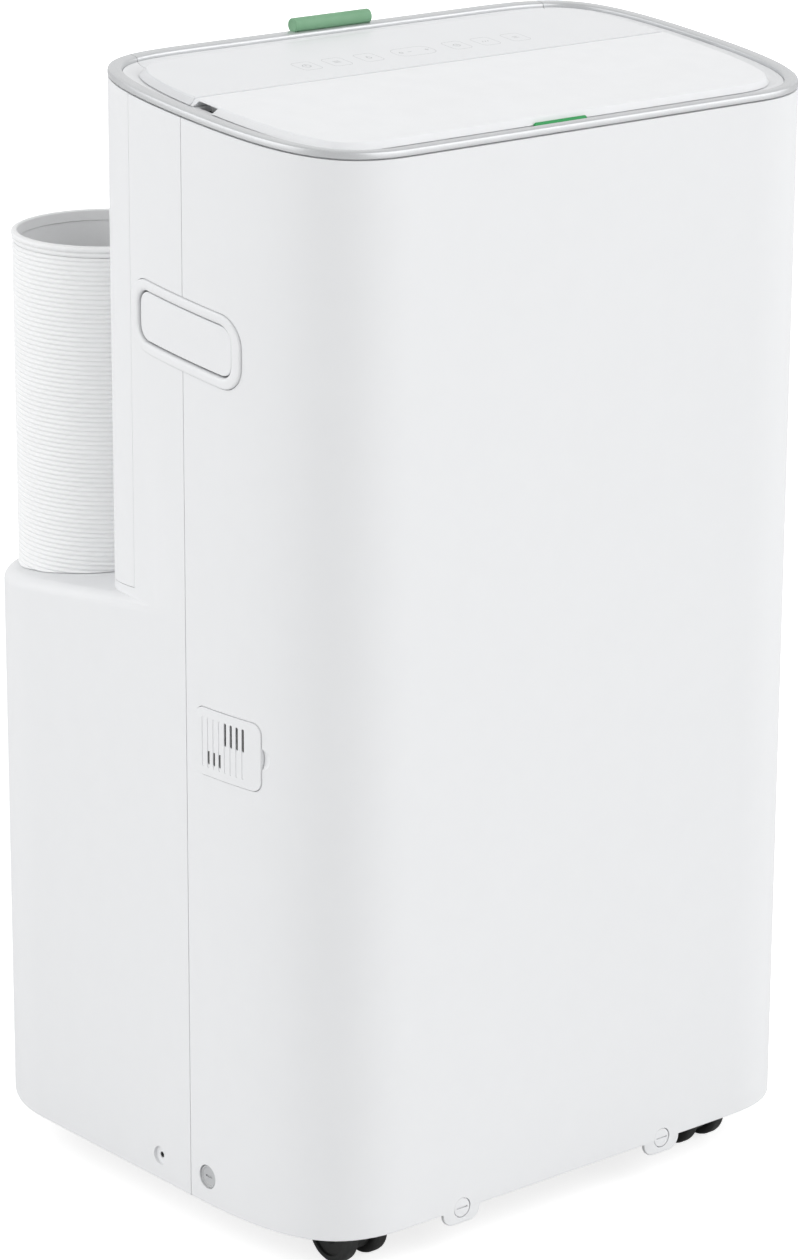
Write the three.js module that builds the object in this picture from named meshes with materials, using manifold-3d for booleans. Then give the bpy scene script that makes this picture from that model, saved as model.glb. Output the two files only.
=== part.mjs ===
// Portable air conditioner on casters: a tall rounded cabinet with a stepped back, a stored exhaust
// hose standing on the step, a lift-up air flap and a filter that pulls out of the top.
// Millimetres, +Z up, the front faces -Y. The origin is on the floor under the middle of the cabinet.
import * as THREE from "three";
import { mergeVertices } from "three/addons/utils/BufferGeometryUtils.js";
import Module from "manifold-3d";

const wasm = await Module();
wasm.setup();

// ---- driving dimensions: cabinet ----
const bodyWidth = 430;
const upperDepth = 245; // front face to the back of the upper body
const bodyHeight = 740; // floor to the back of the top rim
const topSlope = 0.1088; // the top falls towards the front
const wall = 2.5;
const fit = 0.4; // clearance between pieces that touch
const seam = 0.6; // visible joint line between shells
const frontReach = 73.7; // front corner, measured across
const frontRun = 121.5; // front corner, measured back
const rearReach = 100; // rear corner of the upper body, measured across
const lowerRearRadius = 90;
const hoseRadius = 61;
const hoseGap = 2; // upper back to the hose
const hoseSide = 18; // side of the cabinet to the hose
const ledgeMargin = 11; // hose to the back edge of the step
const bodyDepth = upperDepth + hoseGap + 2 * hoseRadius + ledgeMargin; // to the back of the lower body
const ledgeHeight = 388.9; // top of the step at its back edge
const ledgeSlope = 0.117;
const ledgeFillet = 8;
const frontSeamDepth = 126; // front shell to rear shell
const coverSeamDepth = 182.7; // rear shell to rear upper cover
const coverLift = 6; // lower edge of the rear upper cover above the ledge

// ---- driving dimensions: top ----
const rimWidth = 9;
const rimHeight = 4.5;
const rimShadow = 0.9; // open line between the rim and the shells
const gutterBelowRim = 0.5; // gutter below the rim's underside
const gutterDrop = rimHeight + gutterBelowRim;
const plateauInset = 23.5;
const plateauFront = 20;
const plateauRise = 0; // plateau above the rim top
const deckThickness = 3;
const deckSkirt = 20;
const hingeDepth = 142.8; // line between air flap and control panel
const notchWidth = 8; // air gap under each side of the air flap
const notchLength = 18.5;
const notchRear = 137;
const notchSkin = 1.2;
const earInset = 10; // side of the plateau to the hinge ears
const earThickness = 5;
const earGap = 0.6;
const pinRadius = 1.5;
const outletWidth = 300;
const outletFront = 32;
const outletDepth = 96;
const lightLength = 42;
const lightWidth = 2.5;
const lightCentre = -10;
const lightInset = 6.5; // rim to light bar
const lightProud = 1.8;

// ---- driving dimensions: filter ----
const filterCapWidth = 334;
const filterCapDepth = 21;
const filterCapHeight = 14;
const filterWidth = 300;
const filterThickness = 5;
const filterFoot = 440;
const netThickness = 0.8;
const tabLength = 62;
const tabRadius = 4.6;
const tabCentre = -6;

// ---- driving dimensions: side fittings ----
const handleCentreDepth = 126;
const handleCentreHeight = 590.1;
const bezelLength = 108;
const bezelHeight = 45.3;
const bezelCorner = 17;
const bezelProud = 1.5;
const flapLength = 90;
const flapHeight = 30.3;
const flapCorner = 9;
const flapThickness = 2.5;
const flapGap = 1.1;
const pocketDepth = 42;
const sensorFront = 57.6;
const sensorLength = 58;
const sensorFoot = 316;
const sensorHeight = 43.5;
const sensorCorner = 7;
const sensorProud = 0.8;
const grooveCount = 8;
const grooveWidth = 2.6;
const grooveDepth = 1.2;
const upperSlots = 4; // front grooves that are cut through above, the next ones below
const fingerRadius = 7;
const drainDepth = 109;
const drainRadius = 7.6;
const rearDrainRadius = 6;
const plugSides = 12;
const screwDepth = 158.5;
const screwHeadRadius = 5.4;

// ---- driving dimensions: hose ----
const hoseX = hoseSide + hoseRadius - bodyWidth / 2;
const hoseDepth = upperDepth + hoseGap + hoseRadius;
const hoseLength = 202.9; // stored, over its collar
const hoseWall = 2;
const collarHeight = 7;
const socketHeight = 7;
const socketLap = 2; // wall thickness of the socket's spigot

// ---- driving dimensions: base, casters, locks ----
const underShift = -9; // the base's fittings sit left of the cabinet's middle
const wheelRadius = 20;
const hoodGap = 1; // wheel to its hood
const hoodThickness = 2;
const hoodTop = 2 * wheelRadius + hoodGap + hoodThickness;
const casterClearance = 3; // hood to the base pan
const panFloor = hoodTop + casterClearance;
const shellDrop = 18.6; // base pan's floor to the lower edge of the shells
const shellFoot = panFloor - shellDrop;
const panThickness = 3;
const padWidth = 180; // flat pad under the middle of the pan
const padLength = 190;
const padThickness = 2;
const panSkirt = 12;
const panRim = 24;
const casterSpacing = 294;
const casterFrontDepth = 54; // front face to the front swivel axes
const casterRearDepth = 326;
const wheelWidth = 11;
const wheelSpacing = 24;
const casterTrail = 14;
const axleRadius = 3;
const stemRadius = 5.5;
const stemReach = 14; // stem into its boss, above the pan's underside
const stemTop = panFloor + stemReach;
const lockSpacing = 173;
const lockHeight = shellFoot + 1.6;
const lockRadius = 6.4;
const lockTabWidth = 31;
const lockTabDrop = 9;
const drainHeight = panFloor + 0.5;
const screwHeight = panFloor - 1.5;
const screwShank = 1.6;

// ---- driving dimensions: inside ----
const coilWidth = 300;
const coilPitch = 20;
const finThickness = 9;
const evaporatorDepth = upperDepth - 73;
const evaporatorThickness = 40;
const evaporatorFoot = 436;
const evaporatorHeight = 250;
const condenserDepth = bodyDepth - 48;
const condenserThickness = 38;
const condenserFoot = 74;
const condenserHeight = 246;
const condenserWidth = 300;
const fanDrop = 180; // top of the cabinet to the evaporator blower's axis
const fanHeight = bodyHeight - fanDrop;
const fanRadius = 92;
const fanWidth = 56;
const fanDepth = 92;
const exhaustFanX = hoseX + 56;
const exhaustFanHeight = 200;
const exhaustFanRadius = 82;
const exhaustFanWidth = 52;
const exhaustFanDepth = hoseDepth - 46;
const bladeCount = 10;
const scrollGap = 16; // blower tip to scroll wall
const compressorX = 105;
const compressorDepth = 112;
const compressorRadius = 62;
const compressorHeight = 230;

// ---- colours ----
const shellWhite = { color: 0xeeeff1, roughness: 0.45, metalness: 0 };
const panelGrey = { color: 0xe4e6ea, roughness: 0.3, metalness: 0 };
const satinSilver = { color: 0xb9bcc0, roughness: 0.3, metalness: 0.8 };
const tabGreen = { color: 0x7ba984, roughness: 0.5, metalness: 0 };
const lightGreen = { color: 0x229d5c, roughness: 0.3, metalness: 0 };
const casterBlack = { color: 0x2d2f2e, roughness: 0.5, metalness: 0 };
const darkPlastic = { color: 0x5a5b5d, roughness: 0.6, metalness: 0 };
const softGrey = { color: 0xc9cacc, roughness: 0.6, metalness: 0 };
const steel = { color: 0xa8abae, roughness: 0.4, metalness: 0.9 };
const copper = { color: 0xb87345, roughness: 0.35, metalness: 1 };
const finAluminium = { color: 0xc3c6c9, roughness: 0.4, metalness: 0.9 };

// ---- making and placing solids ----
// A stretch across, from near to away from the middle, on one side.
const spanAt = (side, near, away) => (side < 0 ? [-away, -near] : [near, away]);
const far = 900; // longer than the whole object, for cutting
const halfWidth = bodyWidth / 2;

function solid(geometry) {
  const bare = geometry.clone();
  bare.deleteAttribute("normal");
  bare.deleteAttribute("uv");
  const merged = mergeVertices(bare, 1e-4);
  const corners = [];
  for (let i = 0; i < merged.index.count; i += 3) {
    const [a, b, c] = [0, 1, 2].map((k) => merged.index.getX(i + k));
    if (a !== b && b !== c && c !== a) corners.push(a, b, c);
  }
  return new wasm.Manifold(
    new wasm.Mesh({
      numProp: 3,
      vertProperties: merged.attributes.position.array,
      triVerts: new Uint32Array(corners),
    }),
  );
}

function geometryOf(manifold) {
  const mesh = manifold.getMesh();
  const geometry = new THREE.BufferGeometry();
  geometry.setAttribute("position", new THREE.BufferAttribute(mesh.vertProperties, 3));
  geometry.setIndex(new THREE.BufferAttribute(mesh.triVerts, 1));
  geometry.computeVertexNormals();
  return geometry;
}

const join = (first, ...rest) => rest.reduce((whole, next) => whole.add(next), first);
const cut = (first, ...rest) => rest.reduce((whole, next) => whole.subtract(next), first);

function box(x0, x1, y0, y1, z0, z1) {
  const block = new THREE.BoxGeometry(x1 - x0, y1 - y0, z1 - z0);
  return solid(block.translate((x0 + x1) / 2, (y0 + y1) / 2, (z0 + z1) / 2));
}

// A cylinder from one end's centre along an axis.
function rod(axis, start, length, radius, sides = 24) {
  const round = new THREE.CylinderGeometry(radius, radius, length, sides);
  round.translate(0, length / 2, 0);
  if (axis === "x") round.rotateZ(-Math.PI / 2);
  if (axis === "z") round.rotateX(Math.PI / 2);
  return solid(round.translate(...start));
}

function extrude(points, depth) {
  return new THREE.ExtrudeGeometry(new THREE.Shape(points), { depth, bevelEnabled: false });
}

const prism = (points, low, high) => solid(extrude(points, high - low).translate(0, 0, low));

// An outline in depth and height, extruded across from x0 to x1.
function sidePrism(points, x0, x1) {
  const turn = new THREE.Matrix4().makeBasis(
    new THREE.Vector3(0, 1, 0),
    new THREE.Vector3(0, 0, 1),
    new THREE.Vector3(1, 0, 0),
  );
  return solid(extrude(points, x1 - x0).applyMatrix4(turn).translate(x0, 0, 0));
}

// An outline in width and height, extruded back from y0 to y1.
function frontPrism(points, y0, y1) {
  return solid(extrude(points, y1 - y0).rotateX(Math.PI / 2).translate(0, y1, 0));
}

function roundedRect(u, v, width, height, radius) {
  const points = [];
  const stations = [
    [u + width / 2 - radius, v + height / 2 - radius, 0],
    [u - width / 2 + radius, v + height / 2 - radius, 1],
    [u - width / 2 + radius, v - height / 2 + radius, 2],
    [u + width / 2 - radius, v - height / 2 + radius, 3],
  ];
  for (const [cu, cv, quarter] of stations) {
    for (let k = 0; k <= 5; k++) {
      const angle = (quarter + k / 5) * (Math.PI / 2);
      points.push(new THREE.Vector2(cu + radius * Math.cos(angle), cv + radius * Math.sin(angle)));
    }
  }
  return points;
}

// Leans a level solid so that its zero height follows a sloping surface.
function lean(manifold, slope, level, atDepth) {
  const shear = new THREE.Matrix4().makeShear(0, 0, 0, slope, 0, 0);
  shear.setPosition(0, 0, level - slope * atDepth);
  return solid(geometryOf(manifold).applyMatrix4(shear));
}
const onTop = (manifold) => lean(manifold, topSlope, bodyHeight, upperDepth);
const onLedge = (manifold) => lean(manifold, -ledgeSlope, ledgeHeight, bodyDepth);
const topAt = (depth) => bodyHeight - topSlope * (upperDepth - depth);
const ledgeAt = (depth) => ledgeHeight + ledgeSlope * (bodyDepth - depth);

// ---- plan outlines, the right half mirrored, moved inwards by inset ----
const v2 = (x, y) => new THREE.Vector2(x, y);
const frontCorner = new THREE.CubicBezierCurve(
  v2(halfWidth - frontReach, 0),
  v2(halfWidth - 0.2 * frontReach, 0),
  v2(halfWidth, 0.305 * frontRun),
  v2(halfWidth, frontRun),
);
const upperRearCorner = new THREE.CubicBezierCurve(
  v2(halfWidth, frontRun),
  v2(halfWidth, upperDepth - 0.054 * (upperDepth - frontRun)),
  v2(halfWidth - 0.252 * rearReach, upperDepth),
  v2(halfWidth - rearReach, upperDepth),
);
const roundHandle = 0.448 * lowerRearRadius; // control distance of a quarter circle from its corner
const lowerRearCorner = new THREE.CubicBezierCurve(
  v2(halfWidth, bodyDepth - lowerRearRadius),
  v2(halfWidth, bodyDepth - roundHandle),
  v2(halfWidth - roundHandle, bodyDepth),
  v2(halfWidth - lowerRearRadius, bodyDepth),
);

function planOutline(rearCorner, inset, steps) {
  const right = [];
  for (const curve of [frontCorner, rearCorner]) {
    for (let k = 0; k <= steps; k++) {
      if (curve === rearCorner && k === 0 && rearCorner === upperRearCorner) continue;
      const at = curve.getPoint(k / steps);
      const along = curve.getTangent(k / steps);
      right.push(v2(at.x - along.y * inset, at.y + along.x * inset));
    }
  }
  return [...right, ...right.map((p) => v2(-p.x, p.y)).reverse()];
}
const upperPlan = (inset, steps = 9) => planOutline(upperRearCorner, inset, steps);
const lowerPlan = (inset, steps = 9) => planOutline(lowerRearCorner, inset, steps);

// The space inside the cabinet's surface moved inwards by inset.
function cabinetSpace(inset, foot) {
  const tower = prism(upperPlan(inset), foot, bodyHeight + 40);
  const bevelled = new THREE.ExtrudeGeometry(new THREE.Shape(lowerPlan(inset + ledgeFillet)), {
    depth: ledgeHeight,
    bevelSize: ledgeFillet,
    bevelThickness: ledgeFillet,
    bevelSegments: 2,
  });
  bevelled.translate(0, 0, -ledgeHeight - ledgeFillet - inset);
  const rear = box(-far, far, frontSeamDepth - 10, far, foot, far);
  const step = onLedge(solid(bevelled)).intersect(rear);
  return tower.add(step);
}

// The wall of the upper body between two insets, for pieces that follow the side.
const sideBand = (outer, inner, low, high) =>
  cut(prism(upperPlan(outer), low, high), prism(upperPlan(inner), low - 1, high + 1));

const cabinet = new THREE.Group();
cabinet.position.y = -bodyDepth / 2;

function piece(name, body, look, parent = cabinet) {
  const mesh = new THREE.Mesh(geometryOf(body), new THREE.MeshStandardMaterial(look));
  mesh.name = name;
  parent.add(mesh);
  return mesh;
}

// ---- casters ----
const casterPlaces = {
  front_left: [underShift - casterSpacing / 2, casterFrontDepth],
  front_right: [underShift + casterSpacing / 2, casterFrontDepth],
  rear_left: [underShift - casterSpacing / 2, casterRearDepth],
  rear_right: [underShift + casterSpacing / 2, casterRearDepth],
};
function casterFork() {
  const axleY = -casterTrail;
  const hoodWidth = wheelSpacing + wheelWidth + 2;
  const web = wheelSpacing - wheelWidth - 2 * fit;
  const hoodRadius = wheelRadius + hoodGap + hoodThickness;
  const hood = rod("x", [-hoodWidth / 2, axleY, wheelRadius], hoodWidth, hoodRadius, 16);
  const inner = rod("x", [-far / 2, axleY, wheelRadius], far, wheelRadius + hoodGap, 16);
  const middle = rod("x", [-web / 2, axleY, wheelRadius], web, wheelRadius - 5, 10);
  const rib = box(-web / 2, web / 2, axleY - 12, axleY + 8, wheelRadius, hoodTop - hoodThickness);
  const lower = box(-far, far, -far, far, -far, wheelRadius + 4);
  const neck = box(-web / 2, web / 2, axleY + 6, stemRadius + 4, wheelRadius + 8, hoodTop);
  const plate = rod("z", [0, 0, hoodTop - 4], 5, 14, 12);
  const stem = rod("z", [0, 0, hoodTop - 1], stemTop - hoodTop + 1, stemRadius, 12);
  const axle = rod("x", [-hoodWidth / 2 + 1, axleY, wheelRadius], hoodWidth - 2, axleRadius, 12);
  const shade = cut(hood, inner, lower);
  const leftRoom = rod("x", [-far / 2, axleY, wheelRadius], far / 2 - web / 2, wheelRadius + hoodGap, 16);
  const rightRoom = rod("x", [web / 2, axleY, wheelRadius], far / 2, wheelRadius + hoodGap, 16);
  const ends = cut(join(plate, neck), leftRoom, rightRoom);
  return join(shade, rib, middle, ends, stem, axle);
}

function casterWheel() {
  const tread = rod("x", [-wheelWidth / 2, 0, 0], wheelWidth, wheelRadius, 16);
  const dish = rod("x", [wheelWidth / 2 - 2, 0, 0], 3, wheelRadius - 5, 12);
  const hub = rod("x", [wheelWidth / 2 - 3, 0, 0], 3, axleRadius + 3, 12);
  const bore = rod("x", [-wheelWidth, 0, 0], 2 * wheelWidth, axleRadius + fit, 12);
  return cut(join(cut(tread, dish), hub), bore);
}

const forkBody = casterFork();
const wheelBody = casterWheel();
for (const [corner, [x, depth]] of Object.entries(casterPlaces)) {
  const caster = new THREE.Group();
  caster.position.set(x, depth, 0);
  cabinet.add(caster);
  piece(`caster_${corner}_fork`, forkBody, casterBlack, caster);
  for (const [side, turn] of [["a", -1], ["b", 1]]) {
    const wheel = piece(`caster_${corner}_wheel_${side}`, wheelBody, casterBlack, caster);
    wheel.position.set((turn * wheelSpacing) / 2, -casterTrail, wheelRadius);
    if (turn < 0) wheel.rotation.z = Math.PI;
  }
}

// ---- base pan ----
function basePan() {
  const inset = wall + 2 * fit;
  const floor = prism(lowerPlan(inset, 5), panFloor, panFloor + panThickness);
  const rim = cut(
    prism(lowerPlan(inset, 5), panFloor - panSkirt, panFloor + panRim),
    prism(lowerPlan(inset + wall, 5), 0, panFloor + panRim + 1),
  );
  const padOutline = roundedRect(0, bodyDepth / 2, padWidth, padLength, 12);
  const pad = prism(padOutline, panFloor - padThickness, panFloor + 1);
  let pan = join(floor, rim, pad);
  for (const [x, depth] of Object.values(casterPlaces)) {
    pan = pan.add(rod("z", [x, depth, panFloor], stemTop - panFloor + 3, stemRadius + 5, 12));
  }
  for (const [x, depth] of Object.values(casterPlaces)) {
    pan = pan.subtract(rod("z", [x, depth, 0], stemTop + fit, stemRadius + fit, 12));
  }
  const drain = rod("x", [-halfWidth, drainDepth, drainHeight], 20, drainRadius + fit, plugSides);
  const screw = rod("x", [-halfWidth, screwDepth, screwHeight], 20, screwShank + fit, 12);
  const rearHole = [rearDrainX, bodyDepth - 30, rearDrainHeight];
  const rearDrain = rod("y", rearHole, 60, rearDrainRadius + fit, plugSides);
  return cut(pan, drain, rearDrain, screw);
}

// ---- shells ----
const shellTop = -rimHeight - rimShadow;
const aboveShells = onTop(box(-far, far, -far, far, shellTop, 100));
const shellWalls = cut(cabinetSpace(0, shellFoot), cabinetSpace(wall, 0), aboveShells);
// A rounded outline on the cabinet's side, in depth and height, grown all round.
const sideOutline = (depth, height, length, tall, corner, grow) =>
  roundedRect(depth, height, length + 2 * grow, tall + 2 * grow, corner + grow);
// The handles lie parallel to the sloping top.
const alongTop = (outline) =>
  outline.map((p) => new THREE.Vector2(p.x, p.y + topSlope * (p.x - handleCentreDepth)));
const handleOutline = (length, tall, corner, grow) =>
  alongTop(sideOutline(handleCentreDepth, handleCentreHeight, length, tall, corner, grow));
const handleHole = (grow) => handleOutline(bezelLength, bezelHeight, bezelCorner, grow);
const handleCut = sidePrism(handleHole(fit), -far, far);
const sensorCentre = sensorFront + sensorLength / 2;
const sensorMiddle = sensorFoot + sensorHeight / 2;
const sensorPlate = (grow) =>
  sideOutline(sensorCentre, sensorMiddle, sensorLength, sensorHeight, sensorCorner, grow);
const lockPlaces = { left: underShift - lockSpacing / 2, right: underShift + lockSpacing / 2 };

function frontShell() {
  const front = box(-far, far, -far, frontSeamDepth - seam / 2, -far, far);
  let shell = cut(shellWalls.intersect(front), handleCut, sidePrism(sensorPlate(fit), -far, 0));
  const finger = cut(
    rod("x", [-far / 2, sensorFront, sensorMiddle], far / 2, fingerRadius, 20),
    prism(upperPlan(wall - 0.9), 0, far),
  );
  shell = cut(shell, finger, rod("x", [-far, drainDepth, drainHeight], far, drainRadius + fit, plugSides));
  for (const x of Object.values(lockPlaces)) {
    const tab = roundedRect(x, shellFoot, lockTabWidth, 2 * lockTabDrop, 6);
    shell = shell.add(frontPrism(tab, 0.2, wall));
    shell = shell.subtract(rod("y", [x, -10, lockHeight], 30, lockRadius + fit, 24));
  }
  return shell;
}

const coverFloor = onLedge(box(-far, far, coverSeamDepth - seam / 2, far, coverLift - seam, far));
const belowCover = onLedge(box(-far, far, -far, far, -far, coverLift));
const towerBack = box(-far, far, coverSeamDepth + seam / 2, upperDepth + 1, 0, far);
const grilleWidth = 236;
const grilleFoot = 86;
const grilleHeight = 252;
const grillePitch = 18;
const grillePanel = (grow) =>
  sideOutline(0, grilleFoot + grilleHeight / 2, grilleWidth, grilleHeight, 10, grow);
const glandX = 160;
const glandHeight = 96;
const glandRadius = 9;
const rearDrainX = 60;
const rearDrainHeight = 62;

function rearShell() {
  const back = box(-far, far, frontSeamDepth + seam / 2, far, -far, far);
  const counterbore = cut(
    rod("x", [-far / 2, screwDepth, screwHeight], far / 2, screwHeadRadius + 0.8, 20),
    prism(lowerPlan(1.5), 0, far),
  );
  return cut(
    shellWalls.intersect(back),
    handleCut,
    coverFloor.intersect(box(-far, far, 0, upperDepth + fit, 0, far)),
    frontPrism(grillePanel(0), bodyDepth - 10, bodyDepth + 10),
    counterbore,
    rod("x", [-far, screwDepth, screwHeight], far, screwShank + fit, 12),
    rod("y", [glandX, bodyDepth - 60, glandHeight], 100, glandRadius + fit, 20),
    rod("y", [rearDrainX, bodyDepth - 30, rearDrainHeight], 100, rearDrainRadius + fit, plugSides),
    rod("z", [hoseX, hoseDepth, ledgeHeight - 90], 300, hoseRadius - 3.5, 20),
  );
}

// Horizontal slots in two columns between two heights.
function slots(width, low, high, y0, y1) {
  let all = null;
  const web = 8; // solid strip between the two columns and at their ends
  const column = width / 2 - web;
  for (let z = low; z <= high; z += grillePitch) {
    for (const side of [-1, 1]) {
      const x = side * (column + web) / 2;
      const half = grillePitch / 4;
      const one = box(x - column / 2, x + column / 2, y0, y1, z - half, z + half);
      all = all ? all.add(one) : one;
    }
  }
  return all;
}

function rearUpperCover() {
  const cover = cut(shellWalls.intersect(towerBack), belowCover);
  const heights = [evaporatorFoot + 10, topAt(upperDepth) - 50];
  return cut(cover, slots(grilleWidth - 10, ...heights, upperDepth - 10, upperDepth + 10));
}

function lowerRearGrille() {
  const plate = frontPrism(grillePanel(-fit), bodyDepth - wall, bodyDepth);
  const highest = grilleFoot + grilleHeight - 12;
  return cut(plate, slots(grilleWidth - 16, grilleFoot + 12, highest, bodyDepth - 10, bodyDepth + 10));
}

piece("base_pan", basePan(), softGrey);
piece("front_shell", frontShell(), shellWhite);
piece("rear_shell", rearShell(), shellWhite);
piece("rear_upper_cover", rearUpperCover(), shellWhite);
piece("lower_rear_grille", lowerRearGrille(), shellWhite);

// ---- front locks, drains, screw, gland ----
for (const [side, x] of Object.entries(lockPlaces)) {
  const disc = join(
    rod("y", [x, 0.3, lockHeight], wall - 0.1, lockRadius, 20),
    rod("y", [x, 1, lockHeight], 8, 3, 12),
  );
  const coinSlot = box(x - 5, x + 5, -1, 1.3, lockHeight - 0.9, lockHeight + 0.9);
  piece(`lock_disc_${side}`, cut(disc, coinSlot), shellWhite);
}

function roundPlug(radius) {
  const stem = radius - 2;
  const profile = [v2(0, 0), v2(radius, 0), v2(radius, 3), v2(stem, 3.5), v2(stem, 12), v2(0, 12)];
  return new THREE.LatheGeometry(profile, plugSides);
}
const sideAt = halfWidth - 0.9;
piece(
  "side_drain_plug",
  solid(roundPlug(drainRadius).rotateZ(-Math.PI / 2).translate(-sideAt, drainDepth, drainHeight)),
  softGrey,
);
const rearAt = bodyDepth - 0.6;
piece(
  "rear_drain_plug",
  solid(roundPlug(rearDrainRadius).rotateX(Math.PI).translate(rearDrainX, rearAt, rearDrainHeight)),
  softGrey,
);
const screwHead = cut(
  rod("x", [-halfWidth + 0.15, screwDepth, screwHeight], 1.2, screwHeadRadius, 16),
  box(-far, -halfWidth + 0.8, screwDepth - 2.4, screwDepth + 2.4, screwHeight - 0.5, screwHeight + 0.5),
  box(-far, -halfWidth + 0.8, screwDepth - 0.5, screwDepth + 0.5, screwHeight - 2.4, screwHeight + 2.4),
);
const shank = rod("x", [-halfWidth + 1, screwDepth, screwHeight], 9, screwShank, 12);
piece("side_screw", join(screwHead, shank), steel);
const cordRadius = 4.2;
const glandProfile = [
  v2(cordRadius, -3),
  v2(glandRadius - 1.6, -3),
  v2(glandRadius, -1),
  v2(glandRadius, 8),
  v2(cordRadius, 8),
  v2(cordRadius, -3),
];
const glandRing = new THREE.LatheGeometry(glandProfile, 20).rotateX(Math.PI);
piece("cord_gland", solid(glandRing.translate(glandX, bodyDepth - 4, glandHeight)), casterBlack);

// ---- top: rim, deck, control panel, air flap ----
const capHalf = filterCapWidth / 2;
const capFront = upperDepth - filterCapDepth;
const capZone = (grow) => box(-capHalf - grow, capHalf + grow, capFront - grow, far, -far, far);
const ring = (outer, inner, low, high) =>
  cut(prism(upperPlan(outer), low, high), prism(upperPlan(inner), low - 1, high + 1));

const rimRing = ring(0, rimWidth, -rimHeight, 0);
piece("top_rim", onTop(cut(rimRing, capZone(fit))), satinSilver);

const slab = 20; // half the height of the blank that the plateau is cut from
const plateauNose = box(-far, far, 0, plateauInset + 30, -slab, slab);
const plateauPlan = prism(upperPlan(plateauInset), -slab, slab).add(
  prism(upperPlan(plateauFront), -slab, slab).intersect(plateauNose),
);
function outlet(grow, low, high) {
  const half = outletWidth / 2 + grow;
  return box(-half, half, outletFront - grow, outletFront + outletDepth + grow, low, high);
}
const deckFloor = -gutterDrop - deckThickness;
const panelBottom = -gutterDrop + fit;
const flapRadius = (plateauRise - panelBottom) / 2;
const flapAxisDepth = hingeDepth - fit - flapRadius;
const flapAxisLevel = plateauRise - flapRadius;
const plateauHalf = halfWidth - plateauInset;
const earOuter = plateauHalf - earInset;
const earInner = earOuter - earThickness;
const notchFront = notchRear - notchLength;

function topDeck() {
  const inset = wall + fit;
  const floor = prism(upperPlan(inset), deckFloor, -gutterDrop);
  const skirt = ring(inset, inset + wall, deckFloor - deckSkirt, deckFloor);
  let deck = join(floor, skirt);
  for (const side of [-1, 1]) {
    const [x0, x1] = spanAt(side, earInner, earOuter);
    const barrel = rod("x", [x0, flapAxisDepth, flapAxisLevel], earThickness, flapRadius, 16);
    const post = box(x0, x1, flapAxisDepth - 2, flapAxisDepth + 2, -gutterDrop - 1, flapAxisLevel);
    const hole = rod("x", [-far, flapAxisDepth, flapAxisLevel], 2 * far, pinRadius + 0.3, 12);
    const across = spanAt(side, plateauHalf - notchWidth, plateauHalf + 1);
    const well = box(...across, notchFront, notchRear, -far, far);
    deck = cut(deck.add(cut(join(barrel, post), hole)), well);
  }
  const lamp = box(...lampSpan(fit), lampFront - fit, lampFront + lightWidth + fit, -far, far);
  return cut(deck, outlet(0, -far, far), capZone(fit), lamp);
}

const lampFront = rimWidth + lightInset;
const lampSpan = (grow) => [lightCentre - lightLength / 2 - grow, lightCentre + lightLength / 2 + grow];

function controlPanel() {
  const back = box(-far, far, hingeDepth, far, panelBottom, plateauRise);
  return plateauPlan.intersect(back);
}

function airFlap() {
  const front = box(-far, far, -far, flapAxisDepth, panelBottom, plateauRise);
  const knuckleHalf = plateauHalf - 1;
  const knuckle = rod("x", [-knuckleHalf, flapAxisDepth, flapAxisLevel], 2 * knuckleHalf, flapRadius, 16);
  let flap = join(plateauPlan.intersect(front), knuckle);
  for (const side of [-1, 1]) {
    const across = spanAt(side, plateauHalf - notchWidth, far);
    const window = box(...across, notchFront, notchRear, -slab, plateauRise - notchSkin);
    const earRoom = spanAt(side, earInner - earGap, earOuter + earGap);
    const relief = box(...earRoom, flapAxisDepth - flapRadius - 0.8, far, -slab, slab);
    flap = cut(flap, window, relief);
  }
  const pin = rod("x", [-earOuter + 1, flapAxisDepth, flapAxisLevel], 2 * earOuter - 2, pinRadius, 12);
  return flap.add(pin);
}

piece("top_deck", onTop(topDeck()), shellWhite);
piece("control_panel", onTop(controlPanel()), panelGrey);
piece("air_flap", onTop(airFlap()), shellWhite);
const lampTop = -gutterDrop + lightProud;
const lampBar = box(...lampSpan(0), lampFront, lampFront + lightWidth, deckFloor, lampTop);
piece("status_light", onTop(lampBar), lightGreen);

// ---- filter drawer ----
const tabDepth = upperDepth - 3;
const tabLift = 3.2; // rim top to the middle of the tab's roll
const tabHeight = topAt(tabDepth) + tabLift;
function tabRoll(grow) {
  const start = [tabCentre - tabLength / 2 - grow, tabDepth, tabHeight];
  return rod("x", start, tabLength + 2 * grow, tabRadius + grow, 20);
}
function filterCap() {
  const block = prism(upperPlan(wall + fit), -filterCapHeight, -gutterDrop);
  const lip = ring(wall + fit, rimWidth, -gutterDrop - 1, -rimHeight + 1);
  return join(block, lip, rimRing).intersect(capZone(0));
}
piece("filter_cap", cut(onTop(filterCap()), tabRoll(0.3)), satinSilver);

const filterFront = upperDepth - wall - 15.5;
const filterTop = topAt(filterFront) - filterCapHeight - fit;
function filterFrame() {
  const half = filterWidth / 2;
  let frame = box(-half, half, filterFront, filterFront + filterThickness, filterFoot, filterTop);
  const columns = 3;
  const rows = 4;
  const bar = 6;
  const stepX = (filterWidth - bar) / columns;
  const stepZ = (filterTop - filterFoot - bar) / rows;
  for (let i = 0; i < columns; i++) {
    for (let j = 0; j < rows; j++) {
      const x = -half + bar + i * stepX;
      const z = filterFoot + bar + j * stepZ;
      frame = frame.subtract(box(x, x + stepX - bar, 0, far, z, z + stepZ - bar));
    }
  }
  return frame;
}
piece("filter_frame", filterFrame(), softGrey);
const netFront = filterFront + filterThickness + fit;
const netHalf = filterWidth / 2 - 2;
const netBody = box(-netHalf, netHalf, netFront, netFront + netThickness, filterFoot + 2, filterTop - 2);
piece("filter_net", netBody, darkPlastic);
piece("pull_tab", tabRoll(0), tabGreen);

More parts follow.
